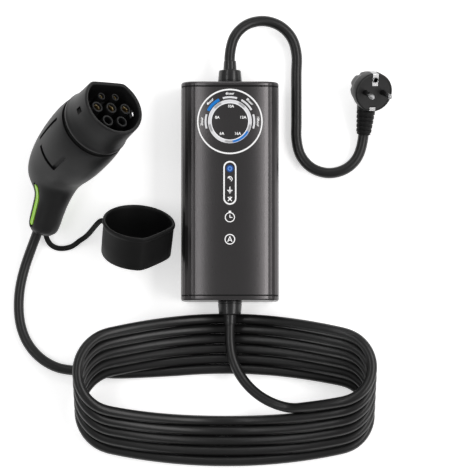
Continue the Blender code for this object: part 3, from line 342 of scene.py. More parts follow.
def dress(finish, *names):
    """Gives CAD nodes or pieces a material."""
    for name in names:
        thing = nodes[name] if isinstance(name, str) else name
        if thing.material_slots:
            for slot in thing.material_slots:
                slot.material = finish
        else:
            thing.data.materials.append(finish)


jacket = surface("cable_jacket", (0.0055, 0.0055, 0.0056), (0.0075, 0.0075, 0.0076), (0.31, 0.42),
                 scale=1800, strength=0.12, specular=0.42)
dress(jacket, mains, cable)
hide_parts("mains_lead")
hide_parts("ev_cable_coil", "ev_cable_gun_tail", "ev_cable_box_tail")
for piece in (mains, cable):
    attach(piece, "root")

# Control box
# A slim extruded aluminium sleeve, anodised a warm dark grey, with a moulded cap screwed on at each
# end. Its long corners are broad and round, so each side of the front shows a soft band of light.
anodised = surface("anodised", (0.080, 0.0762, 0.078), (0.090, 0.086, 0.0875), (0.25, 0.33), 0.9,
                   2600, 0.06, 0.00002, (1, 0.06, 1), broad=25)
# Moulded plastic and rubber carry a painted highlight on their sharp edges.
moulded = surface("moulded_plastic", (0.0045, 0.0045, 0.0048), (0.0065, 0.0065, 0.0068),
                  (0.36, 0.52), 0.0, 3200, 0.25, 0.00004, edges=0.35)
rubber = surface("rubber", (0.0030, 0.0030, 0.0032), (0.0045, 0.0045, 0.0046), (0.46, 0.62), 0.0,
                 2200, 0.2, 0.00004, edges=0.3, specular=0.22)
nickel = surface("nickel", (0.36, 0.36, 0.37), (0.48, 0.48, 0.48), (0.20, 0.34), 1.0, 900, 0.08,
                 0.00002, (1, 1, 0.2))
board = surface("board", (0.010, 0.070, 0.028), (0.016, 0.100, 0.042), (0.30, 0.45), 0.0, 600, 0.2)
component = surface("component", (0.020, 0.045, 0.180), (0.030, 0.065, 0.240), (0.3, 0.45))
terminal = surface("terminal", (0.030, 0.180, 0.070), (0.045, 0.240, 0.100), (0.4, 0.55))
dress(anodised, "sleeve", "dial_panel", "status_panel", "top_end_cap", "bottom_end_cap")
dress(moulded, "header_block", "capacitor")
dress(rubber, "top_bush", "bottom_bush", "top_gasket", "bottom_gasket")
dress(nickel, *(name for name in nodes if "_screw_" in name))
dress(board, "main_board", "display_board")
dress(component, "relay_1", "relay_2", "transformer", "sense_ring")
dress(terminal, "top_terminal_block", "bottom_terminal_block")

# The front is crowned too little for its outline to show it, but its reflections do.
# It falls away slowly over the flat and then quickly over each corner, where the fall levels off.
FLAT_HALF, FLAT_FALL, FLAT_POWER = 0.034, 19.78, 2.5
CORNER, CORNER_FALL, CORNER_LEVEL = 0.010, 0.31, 15.5
tree, shader = anodised.node_tree, anodised.node_tree.nodes["Principled BSDF"]
split = node(tree, "ShaderNodeSeparateXYZ", {0: node(tree, "ShaderNodeTexCoord").outputs["Object"]})
from_middle = reckon(tree, "ABSOLUTE", split.outputs["X"])
flat = reckon(tree, "MINIMUM", from_middle, FLAT_HALF)
corner = reckon(tree, "MAXIMUM", reckon(tree, "SUBTRACT", from_middle, FLAT_HALF), 0.0)
corner = reckon(tree, "MINIMUM", corner, CORNER)
fall = reckon(tree, "MULTIPLY", reckon(tree, "POWER", flat, FLAT_POWER), -FLAT_FALL)
fall = reckon(tree, "ADD", fall, reckon(tree, "MULTIPLY", corner, -CORNER_FALL))
corner = reckon(tree, "MULTIPLY", corner, corner)
fall = reckon(tree, "ADD", fall, reckon(tree, "MULTIPLY", corner, CORNER_LEVEL))
crown = node(tree, "ShaderNodeBump", {"Distance": 1.0, "Height": fall,
                                      "Normal": shader.inputs["Normal"].links[0].from_socket})
fill(shader, {"Normal": crown.outputs["Normal"]})

# The extrusion's rounded corners shade smoothly, and its flats and edges stay crisp.
smooth = bpy.data.node_groups.new("smooth_rounds", "GeometryNodeTree")
for way in ("INPUT", "OUTPUT"):
    smooth.interface.new_socket("Geometry", in_out=way, socket_type="NodeSocketGeometry")
given = node(smooth, "NodeGroupInput").outputs
rounded = node(smooth, "GeometryNodeSetShadeSmooth", {"Geometry": given[0]})
angle = node(smooth, "GeometryNodeInputMeshEdgeAngle").outputs["Unsigned Angle"]
steep = node(smooth, "FunctionNodeCompare", {0: angle, 1: math.radians(34)})
creased = node(smooth, "GeometryNodeSetShadeSmooth", {
    "Geometry": rounded.outputs[0], "Selection": steep.outputs[0], "Shade Smooth": False},
    domain="EDGE")
node(smooth, "NodeGroupOutput", {0: creased.outputs[0]})
for name in ("sleeve", "top_end_cap", "bottom_end_cap", "dial_panel", "status_panel", "dial_trim_ring",
             "status_trim_ring", "amp_light_ring", "top_gasket", "bottom_gasket"):
    nodes[name].modifiers.new("smooth_rounds", "NODES").node_group = smooth
    nodes[name].modifiers.new("weighted_normals", "WEIGHTED_NORMAL").keep_sharp = True

# Dial
# White lines are printed and let in round the dial; the let-in rings have a faint painted glow.
# Behind the ring and the arcs sit moulded light guides, lit white and grey, with one arc and one
# stretch of the ring lit blue.
DIAL_Y = 0.0678
WHITE = (1, 1, 1)
# The trim is white plastic with a faint painted glow, though it is no lamp.
white_trim = surface("white_trim", (0.80, 0.80, 0.80), (0.86, 0.86, 0.86), (0.30, 0.42), 0.0, 1500,
                     0.04, glow=(WHITE, 0.22))
dress(white_trim, "dial_trim_ring", "status_trim_ring")
white, grey, blue = (0.70, 0.70, 0.72), (0.36, 0.36, 0.37), (0.008, 0.17, 0.56)
bands = [(-180, white), (-172, grey), (-151, white), (-104, grey), (-82, blue), (-29, grey),
         (-9, white), (44, grey), (64, white), (116, grey), (139, white)]
changes = [((angle + shift) / 360 + 0.5, tone) for (_, colour), (angle, following) in
           zip(bands, bands[1:]) for shift, tone in ((-2.5, colour), (2.5, following))]
lit, tree, shader = material("light_guide")
offset = node(tree, "ShaderNodeVectorMath", {
    0: node(tree, "ShaderNodeTexCoord").outputs["Object"], 1: (0, DIAL_Y, 0)},
    operation="SUBTRACT").outputs[0]
sweep = node(tree, "ShaderNodeTexGradient", {"Vector": offset}, gradient_type="RADIAL")
colours = ramp_of(tree, sweep.outputs["Fac"], [(0, white), *changes, (1, white)])
level = node(tree, "ShaderNodeVectorMath", {0: offset, 1: (1, 1, 0)}, operation="MULTIPLY")
reach = node(tree, "ShaderNodeVectorMath", {0: level.outputs[0]}, operation="LENGTH")
across = node(tree, "ShaderNodeMapRange", {"Value": reach.outputs["Value"], "From Min": 0.0179,
                                           "From Max": 0.0215})
rims = ramp_of(tree, across.outputs["Result"],
               ((0, 1), (0.16, 1), (0.30, 0), (0.78, 0), (0.90, 0.55), (1, 0.55)))
edged = blend(tree, rims, colours, (0.88, 0.88, 0.90, 1))
fill(shader, {"Base Color": edged, "Emission Color": edged, "Emission Strength": 0.12,
              "Roughness": 0.32})
dress(lit, "amp_light_ring")
bar_white = surface("bar_white", (0.78, 0.78, 0.80), (0.84, 0.84, 0.86), (0.28, 0.40), 0.0, 1500,
                    0.04)
bar_blue = surface("bar_blue", (0.007, 0.17, 0.54), (0.009, 0.19, 0.60), (0.28, 0.40), 0.0, 1500,
                   0.04, glow=((0.005, 0.19, 0.60), 0.12))
dress(bar_white, "timer_light_1", "timer_light_3", "timer_light_4", "timer_light_5")
dress(bar_blue, "timer_light_2")

# Dial prints
# Five hour settings run round the dial in small white letters outside their light bars, and five
# currents stand inside the ring. The letters are screen printed, a few hundredths of a millimetre
# thick.
def lettering(text, height):
    """Flat letters about their own middle, as points and faces."""
    curve = bpy.data.curves.new("letters", "FONT")
    curve.body = text
    curve.align_x, curve.align_y = "CENTER", "CENTER"
    curve.size = height / 0.70
    curve.offset = 0.00009
    curve.resolution_u = 4
    carrier = bpy.data.objects.new("letters", curve)
    scene.collection.objects.link(carrier)
    bpy.context.view_layer.update()
    mesh = evaluated(carrier)
    bpy.data.objects.remove(carrier)
    return mesh


def evaluated(piece):
    """A plain mesh of a piece as its modifiers leave it."""
    return bpy.data.meshes.new_from_object(piece.evaluated_get(bpy.context.evaluated_depsgraph_get()))


def polar(radius, degrees):
    """The x and y of a point on a circle."""
    turn = math.radians(degrees)
    return radius * math.cos(turn), radius * math.sin(turn)


def ribbon(points, width, closed=False):
    """A flat line of an even width through points."""
    shape = bmesh.new()
    points = [Vector((*point, 0)) for point in points]
    pairs = []
    for i, point in enumerate(points):
        before = points[i - 1] if i or closed else point
        after = points[(i + 1) % len(points)] if i + 1 < len(points) or closed else point
        a, b = (point - before).normalized(), (after - point).normalized()
        tangent = (a + b).normalized() if (a + b).length > 0.01 else b
        side = Vector((-tangent.y, tangent.x, 0))
        reach = width / 2 / max(0.5, abs(side.dot(Vector((-b.y, b.x, 0)))) if b.length else 1)
        pairs.append((shape.verts.new(point + side * reach), shape.verts.new(point - side * reach)))
    for a, b in zip(pairs, pairs[1:] + pairs[:1] if closed else pairs[1:]):
        shape.faces.new((a[0], a[1], b[1], b[0]))
    mesh = bpy.data.meshes.new("ribbon")
    shape.to_mesh(mesh)
    shape.free()
    return mesh


def ring_of(radius, steps=48):
    return [polar(radius, 360 * i / steps) for i in range(steps)]


def gathered(name, finish, parts, origin):
    """One thin piece out of flat parts, each with its place (x, y, turn in degrees)."""
    shape = bmesh.new()
    for mesh, (x, y, turn) in parts:
        start = len(shape.verts)
        shape.from_mesh(mesh)
        move = Matrix.Translation((x, y, 0)) @ Matrix.Rotation(math.radians(turn), 4, "Z")
        shape.verts.ensure_lookup_table()
        bmesh.ops.transform(shape, matrix=move, verts=shape.verts[start:])
    for face in shape.faces:
        face.material_index = 0
        if face.normal.z < 0:
            face.normal_flip()
    shape.transform(Matrix.Translation(origin))
    mesh = bpy.data.meshes.new(name)
    shape.to_mesh(mesh)
    shape.free()
    mesh.materials.clear()
    mesh.materials.append(finish)
    piece = bpy.data.objects.new(name, mesh)
    scene.collection.objects.link(piece)
    solid = piece.modifiers.new("thickness", "SOLIDIFY")
    solid.thickness = PRINT_THICK
    solid.offset = 0
    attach(piece, "root")


PRINT_LEVEL = 0.04603
PRINT_THICK = 0.00006
mm = 0.001
# The white ink has a faint painted glow, though it is no lamp.
ink = surface("white_ink", (0.78, 0.78, 0.78), (0.84, 0.84, 0.84), (0.45, 0.60), 0.0, 1500, 0.05,
              glow=(WHITE, 0.3))
labels = [(lettering(text, 0.0024), (*polar(0.0275, angle), angle - 90)) for angle, text in (
    (180, "2hour"), (135, "4hour"), (90, "6hour"), (45, "8hour"), (0, "10hour"))]
for text, x, y in (("10A", 0.8, 14.9), ("8A", -12.4, 3.9), ("13A", 12.9, 3.9), ("6A", -7.9, -12.0),
                   ("16A", 7.6, -12.0)):
    labels.append((lettering(text, 0.0027), (x * mm, y * mm, 0)))
gathered("dial_print", ink, labels, (0, DIAL_Y, PRINT_LEVEL))

# The setting in use has a wider bar that is lit blue, with the same round-cornered ends.
shape = bmesh.new()
shape.faces.new([shape.verts.new((x, y + DIAL_Y, 0.0461)) for x, y in (
    polar(radius, 135 - sweep * (step / 12 - 0.5) * 38)
    for radius, sweep in ((0.0252, 1), (0.0222, -1)) for step in range(13))])
blue_mesh = bpy.data.meshes.new("timer_light_lit")
shape.to_mesh(blue_mesh)
shape.free()
blue_bar = bpy.data.objects.new("timer_light_lit", blue_mesh)
scene.collection.objects.link(blue_bar)
depth = blue_bar.modifiers.new("thickness", "SOLIDIFY")
depth.thickness = 0.0014
depth.offset = -1
soft = blue_bar.modifiers.new("edges", "BEVEL")
soft.width = 0.0004
soft.segments = 3
soft.limit_method = "ANGLE"
dress(bar_blue, blue_bar)
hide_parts("timer_light_2")
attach(blue_bar, "root")

# Status symbols
# In the window, from the top: the lamp that shows a connection, the plugged-in connector, the
# earth sign and the fault cross. Under the window stand the clock and the amp sign. The lamp is a
# lit disc, and the rest is screen printed in white.
LAMP = Vector((0, 0.0214, 0.04604))
lamp_blue, tree, shader = material("blue_lamp")
offset = node(tree, "ShaderNodeVectorMath", {
    0: node(tree, "ShaderNodeTexCoord").outputs["Object"], 1: LAMP}, operation="SUBTRACT")
reach = node(tree, "ShaderNodeVectorMath", {0: offset.outputs[0]}, operation="LENGTH")
blues = ramp_of(tree, reckon(tree, "MULTIPLY", reach.outputs["Value"], 1 / 0.0036), (
    (0, (0.020, 0.115, 0.42)), (0.34, (0.022, 0.12, 0.44)), (0.42, (0.16, 0.34, 0.75)),
    (0.56, (0.16, 0.34, 0.75)), (0.64, (0.015, 0.085, 0.34)), (1, (0.010, 0.055, 0.22))))
fill(shader, {"Base Color": blues, "Emission Color": blues, "Emission Strength": 0.06,
              "Roughness": 0.3})
disc = bmesh.new()
disc.faces.new([disc.verts.new((x, y, 0)) for x, y in ring_of(0.0036, 40)])
disc_mesh = bpy.data.meshes.new("disc")
disc.to_mesh(disc_mesh)
disc.free()
gathered("connection_lamp", lamp_blue, [(disc_mesh, (0, 0, 0))], LAMP)

symbols = []
for points, width, closed, y in (
        # connector with its lead
        ([(-1.9, 1.3), (-0.6, 2.3), (1.0, 1.9), (2.2, 0.5), (2.2, -0.9), (1.3, -2.4)], 0.75, False,
         11.4),
        ([(-2.3, 0.5), (-0.9, 1.4), (0.2, 0.3), (0.6, -1.2)], 0.7, False, 11.4),
        # earth sign
        ([(0, 3.0), (0, -0.4)], 0.9, False, 0.6),
        ([(-2.5, -0.6), (2.5, -0.6)], 0.85, False, 0.6),
        ([(-1.5, -1.9), (1.5, -1.9)], 0.75, False, 0.6),
        ([(-0.6, -3.1), (0.6, -3.1)], 0.7, False, 0.6),
        # fault cross
        ([(-1.9, 1.9), (1.9, -1.9)], 0.95, False, -8.5),
        ([(-1.9, -1.9), (1.9, 1.9)], 0.95, False, -8.5),
        ([(0.2, 2.6), (0.2, 1.4)], 0.7, False, -8.5),
        # clock
        (ring_of(4.5), 0.85, True, -26.4),
        ([(0, 4.4), (0, 6.0)], 1.5, False, -26.4),
        ([(-1.3, 5.9), (1.3, 5.9)], 0.8, False, -26.4),
        ([(0, 2.6), (0, -0.2), (2.4, -0.2)], 0.75, False, -26.4),
        # amp sign
        (ring_of(4.7), 0.9, True, -48.0),
        ([(-2.1, -2.4), (0, 2.7), (2.1, -2.4)], 0.85, False, -48.0),
        ([(-1.3, -0.9), (1.3, -0.9)], 0.7, False, -48.0)):
    symbols.append((ribbon([(x * mm, z * mm) for x, z in points], width * mm, closed),
                    (0, y * mm, 0)))
gathered("status_print", ink, symbols, (0, 0, PRINT_LEVEL))

# Cable bushes
# Each lead leaves the box through a moulded rubber bush, pressed into the end cap from outside. Its
# grooved collar sits on the cap, and its soft neck tapers down to the jacket.
def lathe(name, profile, matrix, finish, sides=64, replaced=()):
    """A turned piece from a profile of (radius, z), closed to itself, about its own Z."""
    shape = bmesh.new()
    loop = [shape.verts.new((radius, 0, z)) for radius, z in profile]
    closed = profile[0][0] > 0
    edges = [shape.edges.new(pair) for pair in zip(loop, loop[1:] + (loop[:1] if closed else []))]
    bmesh.ops.spin(shape, geom=loop + edges, cent=(0, 0, 0), axis=(0, 0, 1), angle=2 * math.pi,
                   steps=sides, use_merge=True)
    bmesh.ops.remove_doubles(shape, verts=shape.verts, dist=0.000001)
    bmesh.ops.recalc_face_normals(shape, faces=shape.faces)
    return finished(name, shape, matrix, finish, replaced)


def finished(name, shape, matrix, finish, replaced=(), angle=35):
    """The shape as a piece of the object, in the frame's own coordinates."""
    shape.transform(matrix)
    mesh = bpy.data.meshes.new(name)
    shape.to_mesh(mesh)
    shape.free()
    mesh.shade_smooth()
    mesh.set_sharp_from_angle(angle=math.radians(angle))
    mesh.materials.append(finish)
    piece = bpy.data.objects.new(name, mesh)
    scene.collection.objects.link(piece)
    if replaced:
        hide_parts(*replaced)
    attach(piece, "root")
    return piece


def eased(corners, radius, steps=4):
    """A profile with each corner rounded off by a short curve."""
    points = [Vector(corner) for corner in corners]
    made = [points[0]]
    for a, b, c in zip(points, points[1:], points[2:]):
        cut = min(radius, (a - b).length * 0.45, (c - b).length * 0.45)
        start, end = b + (a - b).normalized() * cut, b + (c - b).normalized() * cut
        made += [(1 - t) ** 2 * start + 2 * t * (1 - t) * b + t * t * end
                 for t in (i / steps for i in range(steps + 1))]
    return [tuple(point) for point in made + [points[-1]]]


# The bush's rubber also carries a painted highlight on its sharp edges.
bush_rubber = surface("bush_rubber", (0.010, 0.010, 0.0105), (0.014, 0.014, 0.0145), (0.26, 0.38),
                      scale=1800, strength=0.12, edges=0.3, coat=0.2)
for end, side, diameter in (("top", 1, LEAD), ("bottom", -1, CABLE)):
    outward = placed((0, side * 0.1075, AXIS), (1, 0, 0), (0, side, 0))
    neck = diameter / 2 + 0.0001
    corners = [(neck, -0.006), (0.0085, -0.006), (0.0085, 0.0001), (0.0119, 0.0001),
               (0.0119, 0.0016), (0.0115, 0.0018), (0.0115, 0.0026), (0.0118, 0.0028),
               (0.0108, 0.0131), (neck + 0.0012, 0.0136), (neck + 0.0007, 0.0225), (neck, 0.0228)]
    lathe(end + "_bush_ribbed", eased(corners, 0.0006), outward, bush_rubber, 64,
          (end + "_bush",))

# Connector shell
# The connector's body is one black moulding: a fat barrel that swells behind the nose and runs
# down into a slim oval handle. A raised panel on each flank is outlined by narrow slots.
def skin(rings, tube=False):
    """A skin over rings of points: closed with a face at each end, or round to the first ring."""
    shape = bmesh.new()
    rows = [[shape.verts.new(point) for point in ring] for ring in rings]
    count = len(rows[0])
    for low, high in zip(rows, rows[1:] + rows[:1] if tube else rows[1:]):
        for i in range(count):
            shape.faces.new((low[i], low[(i + 1) % count], high[(i + 1) % count], high[i]))
    if not tube:
        shape.faces.new(rows[0])
        shape.faces.new(rows[-1])
    bmesh.ops.recalc_face_normals(shape, faces=shape.faces)
    return shape


def carved(piece, shape, matrix, operation="DIFFERENCE"):
    """Cuts a shape out of a piece, or joins it on, and keeps the result as the piece's mesh."""
    mesh = bpy.data.meshes.new("tool")
    shape.to_mesh(mesh)
    shape.free()
    tool = bpy.data.objects.new("tool", mesh)
    tool.matrix_world = matrix
    scene.collection.objects.link(tool)
    step = piece.modifiers.new("carve", "BOOLEAN")
    step.object = tool
    step.operation = operation
    step.solver = "EXACT"
    bpy.context.view_layer.update()
    made = evaluated(piece)
    piece.modifiers.remove(step)
    piece.data = made
    bpy.data.objects.remove(tool)


def drilled(piece, matrix, centre, radius, depth, sides=48, end_radius=None, operation="DIFFERENCE"):
    """Bores a round hole along Z into a piece, or joins a round hub on."""
    shape = bmesh.new()
    bmesh.ops.create_cone(shape, cap_ends=True, segments=sides, radius1=radius,
                          radius2=end_radius or radius, depth=depth)
    bmesh.ops.translate(shape, vec=Vector(centre), verts=shape.verts)
    carved(piece, shape, matrix, operation)


def box_shape(size, centre=(0, 0, 0)):
    shape = bmesh.new()
    bmesh.ops.create_cube(shape, size=1)
    bmesh.ops.scale(shape, vec=Vector(size), verts=shape.verts)
    bmesh.ops.translate(shape, vec=Vector(centre), verts=shape.verts)
    return shape


def softened(piece, width, segments=2, angle=30):
    edges = piece.modifiers.new("edges", "BEVEL")
    edges.width = width
    edges.segments = segments
    edges.limit_method = "ANGLE"
    edges.angle_limit = math.radians(angle)
    edges.harden_normals = True


outline = [
    (-34.5, 54.2, 34.5, 54.2, 34.5), (-35.6, 50, 35.2, 50, 35.2), (-36.6, 40, 35.8, 40, 35.8),
    (-37, 28, 35, 25, 35.5), (-37, 15, 32.5, 4, 34), (-35.5, 2, 27, -17, 31.8),
    (-33.5, -8, 18, -34, 29.3), (-34.3, -17, 7.5, -45, 25), (-40.8, -27.7, -11.6, -49.4, 18),
    (-48.7, -41.6, -22.1, -60.3, 16.2), (-55.3, -51.6, -29.6, -69.7, 15.6),
    (-58.2, -58.2, -34.9, -74.4, 14.4), (-57.6, -62.2, -38.8, -75.4, 12)]
rings = []
for low_y, low_z, high_y, high_z, half in through(outline, 5):
    ring = []
    for i in range(72):
        turn = 2 * math.pi * i / 72
        share = (1 + math.sin(turn)) / 2
        ring.append((half * mm * math.cos(turn), (low_y + (high_y - low_y) * share) * mm,
                     (low_z + (high_z - low_z) * share) * mm))
    rings.append(ring)
# The handle's end closes in a shallow dome.
rim = [Vector(point) for point in rings[-1]]
centre = sum(rim, Vector()) / len(rim)
ahead = (gun.inverted() @ grip).to_3x3() @ Vector((0, 0, 1))
for grow, rise in ((0.97, 0.0007), (0.90, 0.0014), (0.78, 0.0020), (0.55, 0.0024)):
    rings.append([centre + (point - centre) * grow + ahead * rise for point in rim])
shell = finished("connector_shell", skin(rings), gun, moulded, ("gun_body",), 30)

drilled(shell, gun, (0, 0, 0.0424 + 0.007), 0.0318, 0.014, 96)

for side in (-1, 1):
    for turn, first, last, depth in ((19, 9, 46, 32.2), (-41, 9, 33, 32.4)):
        lean = math.radians(turn)
        out = gun @ placed((0, -0.001, 0), (side * math.cos(lean), math.sin(lean), 0), (0, 0, 1))
        carved(shell, box_shape((0.009, 0.0038, (last - first) * mm),
                                (depth * mm + 0.004, 0, (first + last) / 2 * mm)), out)
    lean = math.radians(-19.5)
    out = gun @ placed((0, -0.001, 0), (side * math.cos(lean), math.sin(lean), 0), (0, 0, 1))
    arc = [polar(radius * mm, sweep * (step / 12 - 0.5) * 47)
           for radius, sweep in ((41.5, 1), (31.9, -1)) for step in range(13)]
    carved(shell, skin([[(x, y, z * mm) for x, y in arc] for z in (8.2, 12.0)]), out)

# Nose
# The nose is a keyed tube: round, with one flat that fits a car's inlet only one way. Its rim is
# rounded, a square hole on each side takes the car's lock pin, and a collar holds the seal.
def keyed(radius, flat, z, soft=1.6, sides=144):
    """A ring about Z with its top cut level and the two corners that this leaves rounded."""
    points = []
    for i in range(sides):
        turn = 2 * math.pi * i / sides
        y = radius * math.sin(turn)
        over = (y - flat) / mm / soft
        if over > -1:
            y = flat - soft * mm * math.exp(-over - 1)
        points.append((radius * math.cos(turn), y, z))
    return points


def keyed_rings(rows, soft=1.6):
    """Keyed rings from rows of (radius, flat, z) in millimetres."""
    return [keyed(radius * mm, flat * mm, z * mm, soft) for radius, flat, z in rows]


steps = [(31.5, 63, 42.7), (31.5, 63, 58.9), (34.0, 63, 58.9), (34.3, 63, 59.3), (34.3, 63, 61.4),
         (34.0, 63, 61.9), (33.4, 32, 64.0), (33.1, 30, 65.9), (32.5, 28, 69.5), (32.1, 27, 72.9),
         (31.8, 26.5, 80), (31.5, 26, 93.0), (31.3, 25.8, 94.2), (30.7, 25.2, 94.9), (29.9, 24.4, 95.0),
         (29.0, 23.5, 94.8), (28.2, 22.7, 94.2), (27.9, 22.4, 93.0), (27.9, 22.4, 42.7)]
shroud = finished("nose_shroud", skin(keyed_rings(steps), True), gun, moulded,
                  ("front_shroud",), 40)
carved(shroud, box_shape((0.0945, 0.0064, 0.0064), (0, 0, 0.081)), gun)
softened(shroud, 0.0002, 2, 50)

seal = eased([(0.0316, 0.0545), (0.0327, 0.0545), (0.0327, 0.0556), (0.0321, 0.0559),
              (0.0321, 0.0572), (0.0327, 0.0575), (0.0327, 0.0586), (0.0316, 0.0586)], 0.0003)
lathe("nose_seal", seal, gun, rubber, 96, ("seal_ring",))

# Contacts
# Seven sleeves are moulded in one with their plate. Five hold brass sockets, each turned and split
# into springy fingers; the lower two are empty, as on a single-phase lead.
brass = surface("brass", (0.56, 0.46, 0.27), (0.68, 0.57, 0.36), (0.24, 0.38), 1.0, 900, 0.1)
plate = skin(keyed_rings([(27.6, 22.1, z) for z in (60.0, 64.8, 65.0)]))
holder = finished("contact_plate", plate, gun, moulded, ("contact_carrier",), 40)
places = [(0, 0, 5.7, 4.0, "contact_power_1"), (-16, 0, 5.7, 4.0, "contact_power_2"),
          (16, 0, 5.7, 4.0, "contact_power_3"), (-8, -14.5, 5.7, 4.0, ""), (8, -14.5, 5.7, 4.0, ""),
          (-7.84, 12.4, 3.9, 2.5, "contact_signal_1"), (7.84, 12.4, 3.9, 2.5, "contact_signal_2")]
for index, (x, y, outer, bore, name) in enumerate(places, 1):
    drilled(holder, gun @ Matrix.Translation((x * mm, y * mm, 0.0625)), (0, 0, 0), outer * mm, 0.02)
    spot = gun @ Matrix.Translation((x * mm, y * mm, 0))
    edge = outer * mm - 0.0001
    wall = [(edge, 0.0602), (edge, 0.0900), (bore * mm, 0.0900)]
    if name:
        wall = [(bore * mm, 0.0602), *wall, (bore * mm, 0.0602)]
    else:
        wall = [(0, 0.0602), *wall, (bore * mm, 0.0660), (0, 0.0660)]
    lathe(f"contact_sleeve_{index}", eased(wall, 0.0005), spot, moulded, 48)

for x, y, outer, bore, name in places:
    if not name:
        continue
    reach, inner = (bore - 0.3) * mm, (bore - 0.3 - 0.75) * mm
    spot = gun @ Matrix.Translation((x * mm, y * mm, 0))
    wall = eased([(inner, 0.0570), (reach, 0.0570), (reach, 0.0868), (reach - 0.35 * mm, 0.0878),
                  (inner, 0.0868), (inner, 0.0570)], 0.0003)
    socket = lathe(name + "_socket", wall, spot, brass, 48, (name,))
    for turn in (0, 60, 120):
        slit = box_shape((2.4 * reach, 0.0005, 0.0080), (0, 0, 0.0846))
        carved(socket, slit, spot @ Matrix.Rotation(math.radians(turn), 4, "Z"))

# Handle strips
# A soft strip of lime green plastic with round ends is glued into a black recess along each side
# of the handle, and follows its curve.
lime = surface("lime", (0.30, 0.66, 0.022), (0.40, 0.78, 0.040), (0.26, 0.38), 0.0, 1200, 0.06,
               coat=0.3)


def handle_half_width(distance):
    lean = math.sin(bend), math.cos(bend)
    rows = [(-(row[0] + row[2]) / 2 * lean[0] - (row[1] + row[3]) / 2 * lean[1], row[4])
            for row in through(outline, 5)]
    for (near, wide), (far, narrow) in zip(rows, rows[1:]):
        if near <= distance <= far:
            return wide + (narrow - wide) * (distance - near) / (far - near)
    return rows[-1][1]


def strip_rings(side, first, last, half, floor, lift):
    """Rings of a strip that follows the handle's side from its floor to its crown."""
    made = []
    count = 26
    for step in range(count + 1):
        along = first + (last - first) * step / count
        edge = min(along - first, last - along)
        across = half * math.sqrt(max(0.0, 1 - max(0, 1 - edge / half) ** 2)) if edge < half else half
        across = max(across, 0.12 * half)
        width = handle_half_width(along)
        made.append([(side * (width - depth) * mm, y * mm, along * mm)
                     for depth, y in ((floor, -across), (floor, across), (-lift * 0.4, across),
                                      (-lift, across * 0.5), (-lift, -across * 0.5),
                                      (-lift * 0.4, -across))])
    return made


for name, side in (("left", -1), ("right", 1)):
    carved(shell, skin(strip_rings(side, 33.0, 80.8, 3.9, 1.5, 2.5)), grip)
    finished("lime_strip_" + name, skin(strip_rings(side, 35.0, 78.8, 2.3, 1.45, -0.45)), grip, lime,
             ("green_strip_" + name,), 50)
softened(shell, 0.0003, 2, 32)

# Cap
# A soft cap moulded in black rubber to the nose's own keyed outline, with a thick bead round its
# rim. It is tethered, so that it isn't lost while the connector is in use.
cap_way = Vector((0.10, 0.842, 0.53))
cup = placed((-0.0925, -0.062, 0.0286), Vector((0.75, -0.35, 0.55)).cross(cap_way), cap_way)
walls = [(30.0, 24.5, 0.0), (32.4, 26.9, 0.2), (33.7, 28.2, 0.9), (34.3, 28.8, 2.4),
         (34.6, 29.1, 16), (34.7, 29.2, 31.4), (34.9, 29.4, 32.6), (35.5, 30.0, 33.4),
         (35.7, 30.2, 34.4), (35.7, 30.2, 36.0), (35.5, 30.0, 36.6), (35.0, 29.5, 37.0),
         (34.3, 28.8, 37.0), (33.5, 28.0, 36.8), (33.0, 27.5, 36.3), (32.7, 27.2, 35.2),
         (32.5, 27.0, 33.0), (32.2, 26.7, 18), (31.7, 26.2, 5.2), (31.0, 25.5, 3.2), (29.0, 23.5, 2.6)]
finished("rubber_cap", skin(keyed_rings(walls, 4.5)), cup, rubber, ("cap",), 40)

# Strap
# The strap is a flat rubber band with rounded edges. It runs from a loop at the handle's end,
# dips to the floor and rises to the cap's side.
local = cup.inverted() @ Vector((-0.1345, -0.038, 0.028))
away = Vector((local.x, local.y, 0)).normalized()
band = [grip @ Vector((0.006, 0, 0.0822)), grip @ Vector((0.006, 0, 0.0892)), (-0.178, -0.050, 0.004),
        (-0.1695, -0.054, 0.0016), (-0.158, -0.0525, 0.0016), (-0.1485, -0.0465, 0.006),
        (-0.1405, -0.0415, 0.015), cup @ (away * 0.0405 + Vector((0, 0, 0.0265))),
        cup @ (away * 0.0348 + Vector((0, 0, 0.029)))]
route = resampled(through(band, 24), 0.0015)
rings = []
for before, point, ahead in zip([route[0]] + route, route, route[1:] + [route[-1]]):
    heading = (ahead - before).normalized()
    across = heading.cross(Vector((0, 0, 1))).normalized()
    up = across.cross(heading)
    ring = []
    for step in range(20):
        c, s = polar(1, 18 * step)
        ring.append(point + across * 0.0026 * math.copysign(abs(c) ** 0.6, c)
                    + up * 0.00115 * math.copysign(abs(s) ** 0.8, s))
    rings.append(ring)
finished("rubber_strap", skin(rings), Matrix.Identity(4), rubber, ("cap_strap",), 50)

# A round lug thickens the strap where it meets the cap's side.
lug = placed(cup @ (away * 0.0347 + Vector((0, 0, 0.029))), (0, 0, 1), cup.to_3x3() @ away)
lathe("strap_lug", eased([(0, -0.0002), (0.0046, -0.0002), (0.0040, 0.0011), (0.0030, 0.0019),
                          (0, 0.0021)], 0.0005), lug, rubber, 40)

# Plug
# An angled mains plug, moulded in hard black plastic on the lead's end: a round face with a rim
# step, fluted grip sides that narrow to the back, and a hub on one side for the ribbed boot.
profile = [(16.6, -0.55), (17.4, -0.5), (17.6, 0.0), (18.6, 0.0), (19.0, -0.25), (19.4, -0.9),
           (19.5, -2.0), (19.5, -8.8), (19.3, -9.6), (18.6, -10.6), (17.6, -16.2), (16.2, -22.0),
           (14.4, -26.6), (13.2, -27.7), (11.4, -28.0)]
rings = []
for radius, z in profile:
    ring = []
    for i in range(128):
        turn = 2 * math.pi * i / 128
        facet = 0.0
        if z < -9 and abs(math.cos(turn)) > 0.35:
            facet = 1.5 * min(1.0, (-z - 9) / 5) * max(0.0, math.cos(turn * 6)) ** 2
        ring.append(((radius - facet) * mm * math.cos(turn), (radius - facet) * mm * math.sin(turn),
                     z * mm))
    rings.append(ring)
body = finished("plug_housing", skin(rings), plug, moulded, ("plug_body",), 35)
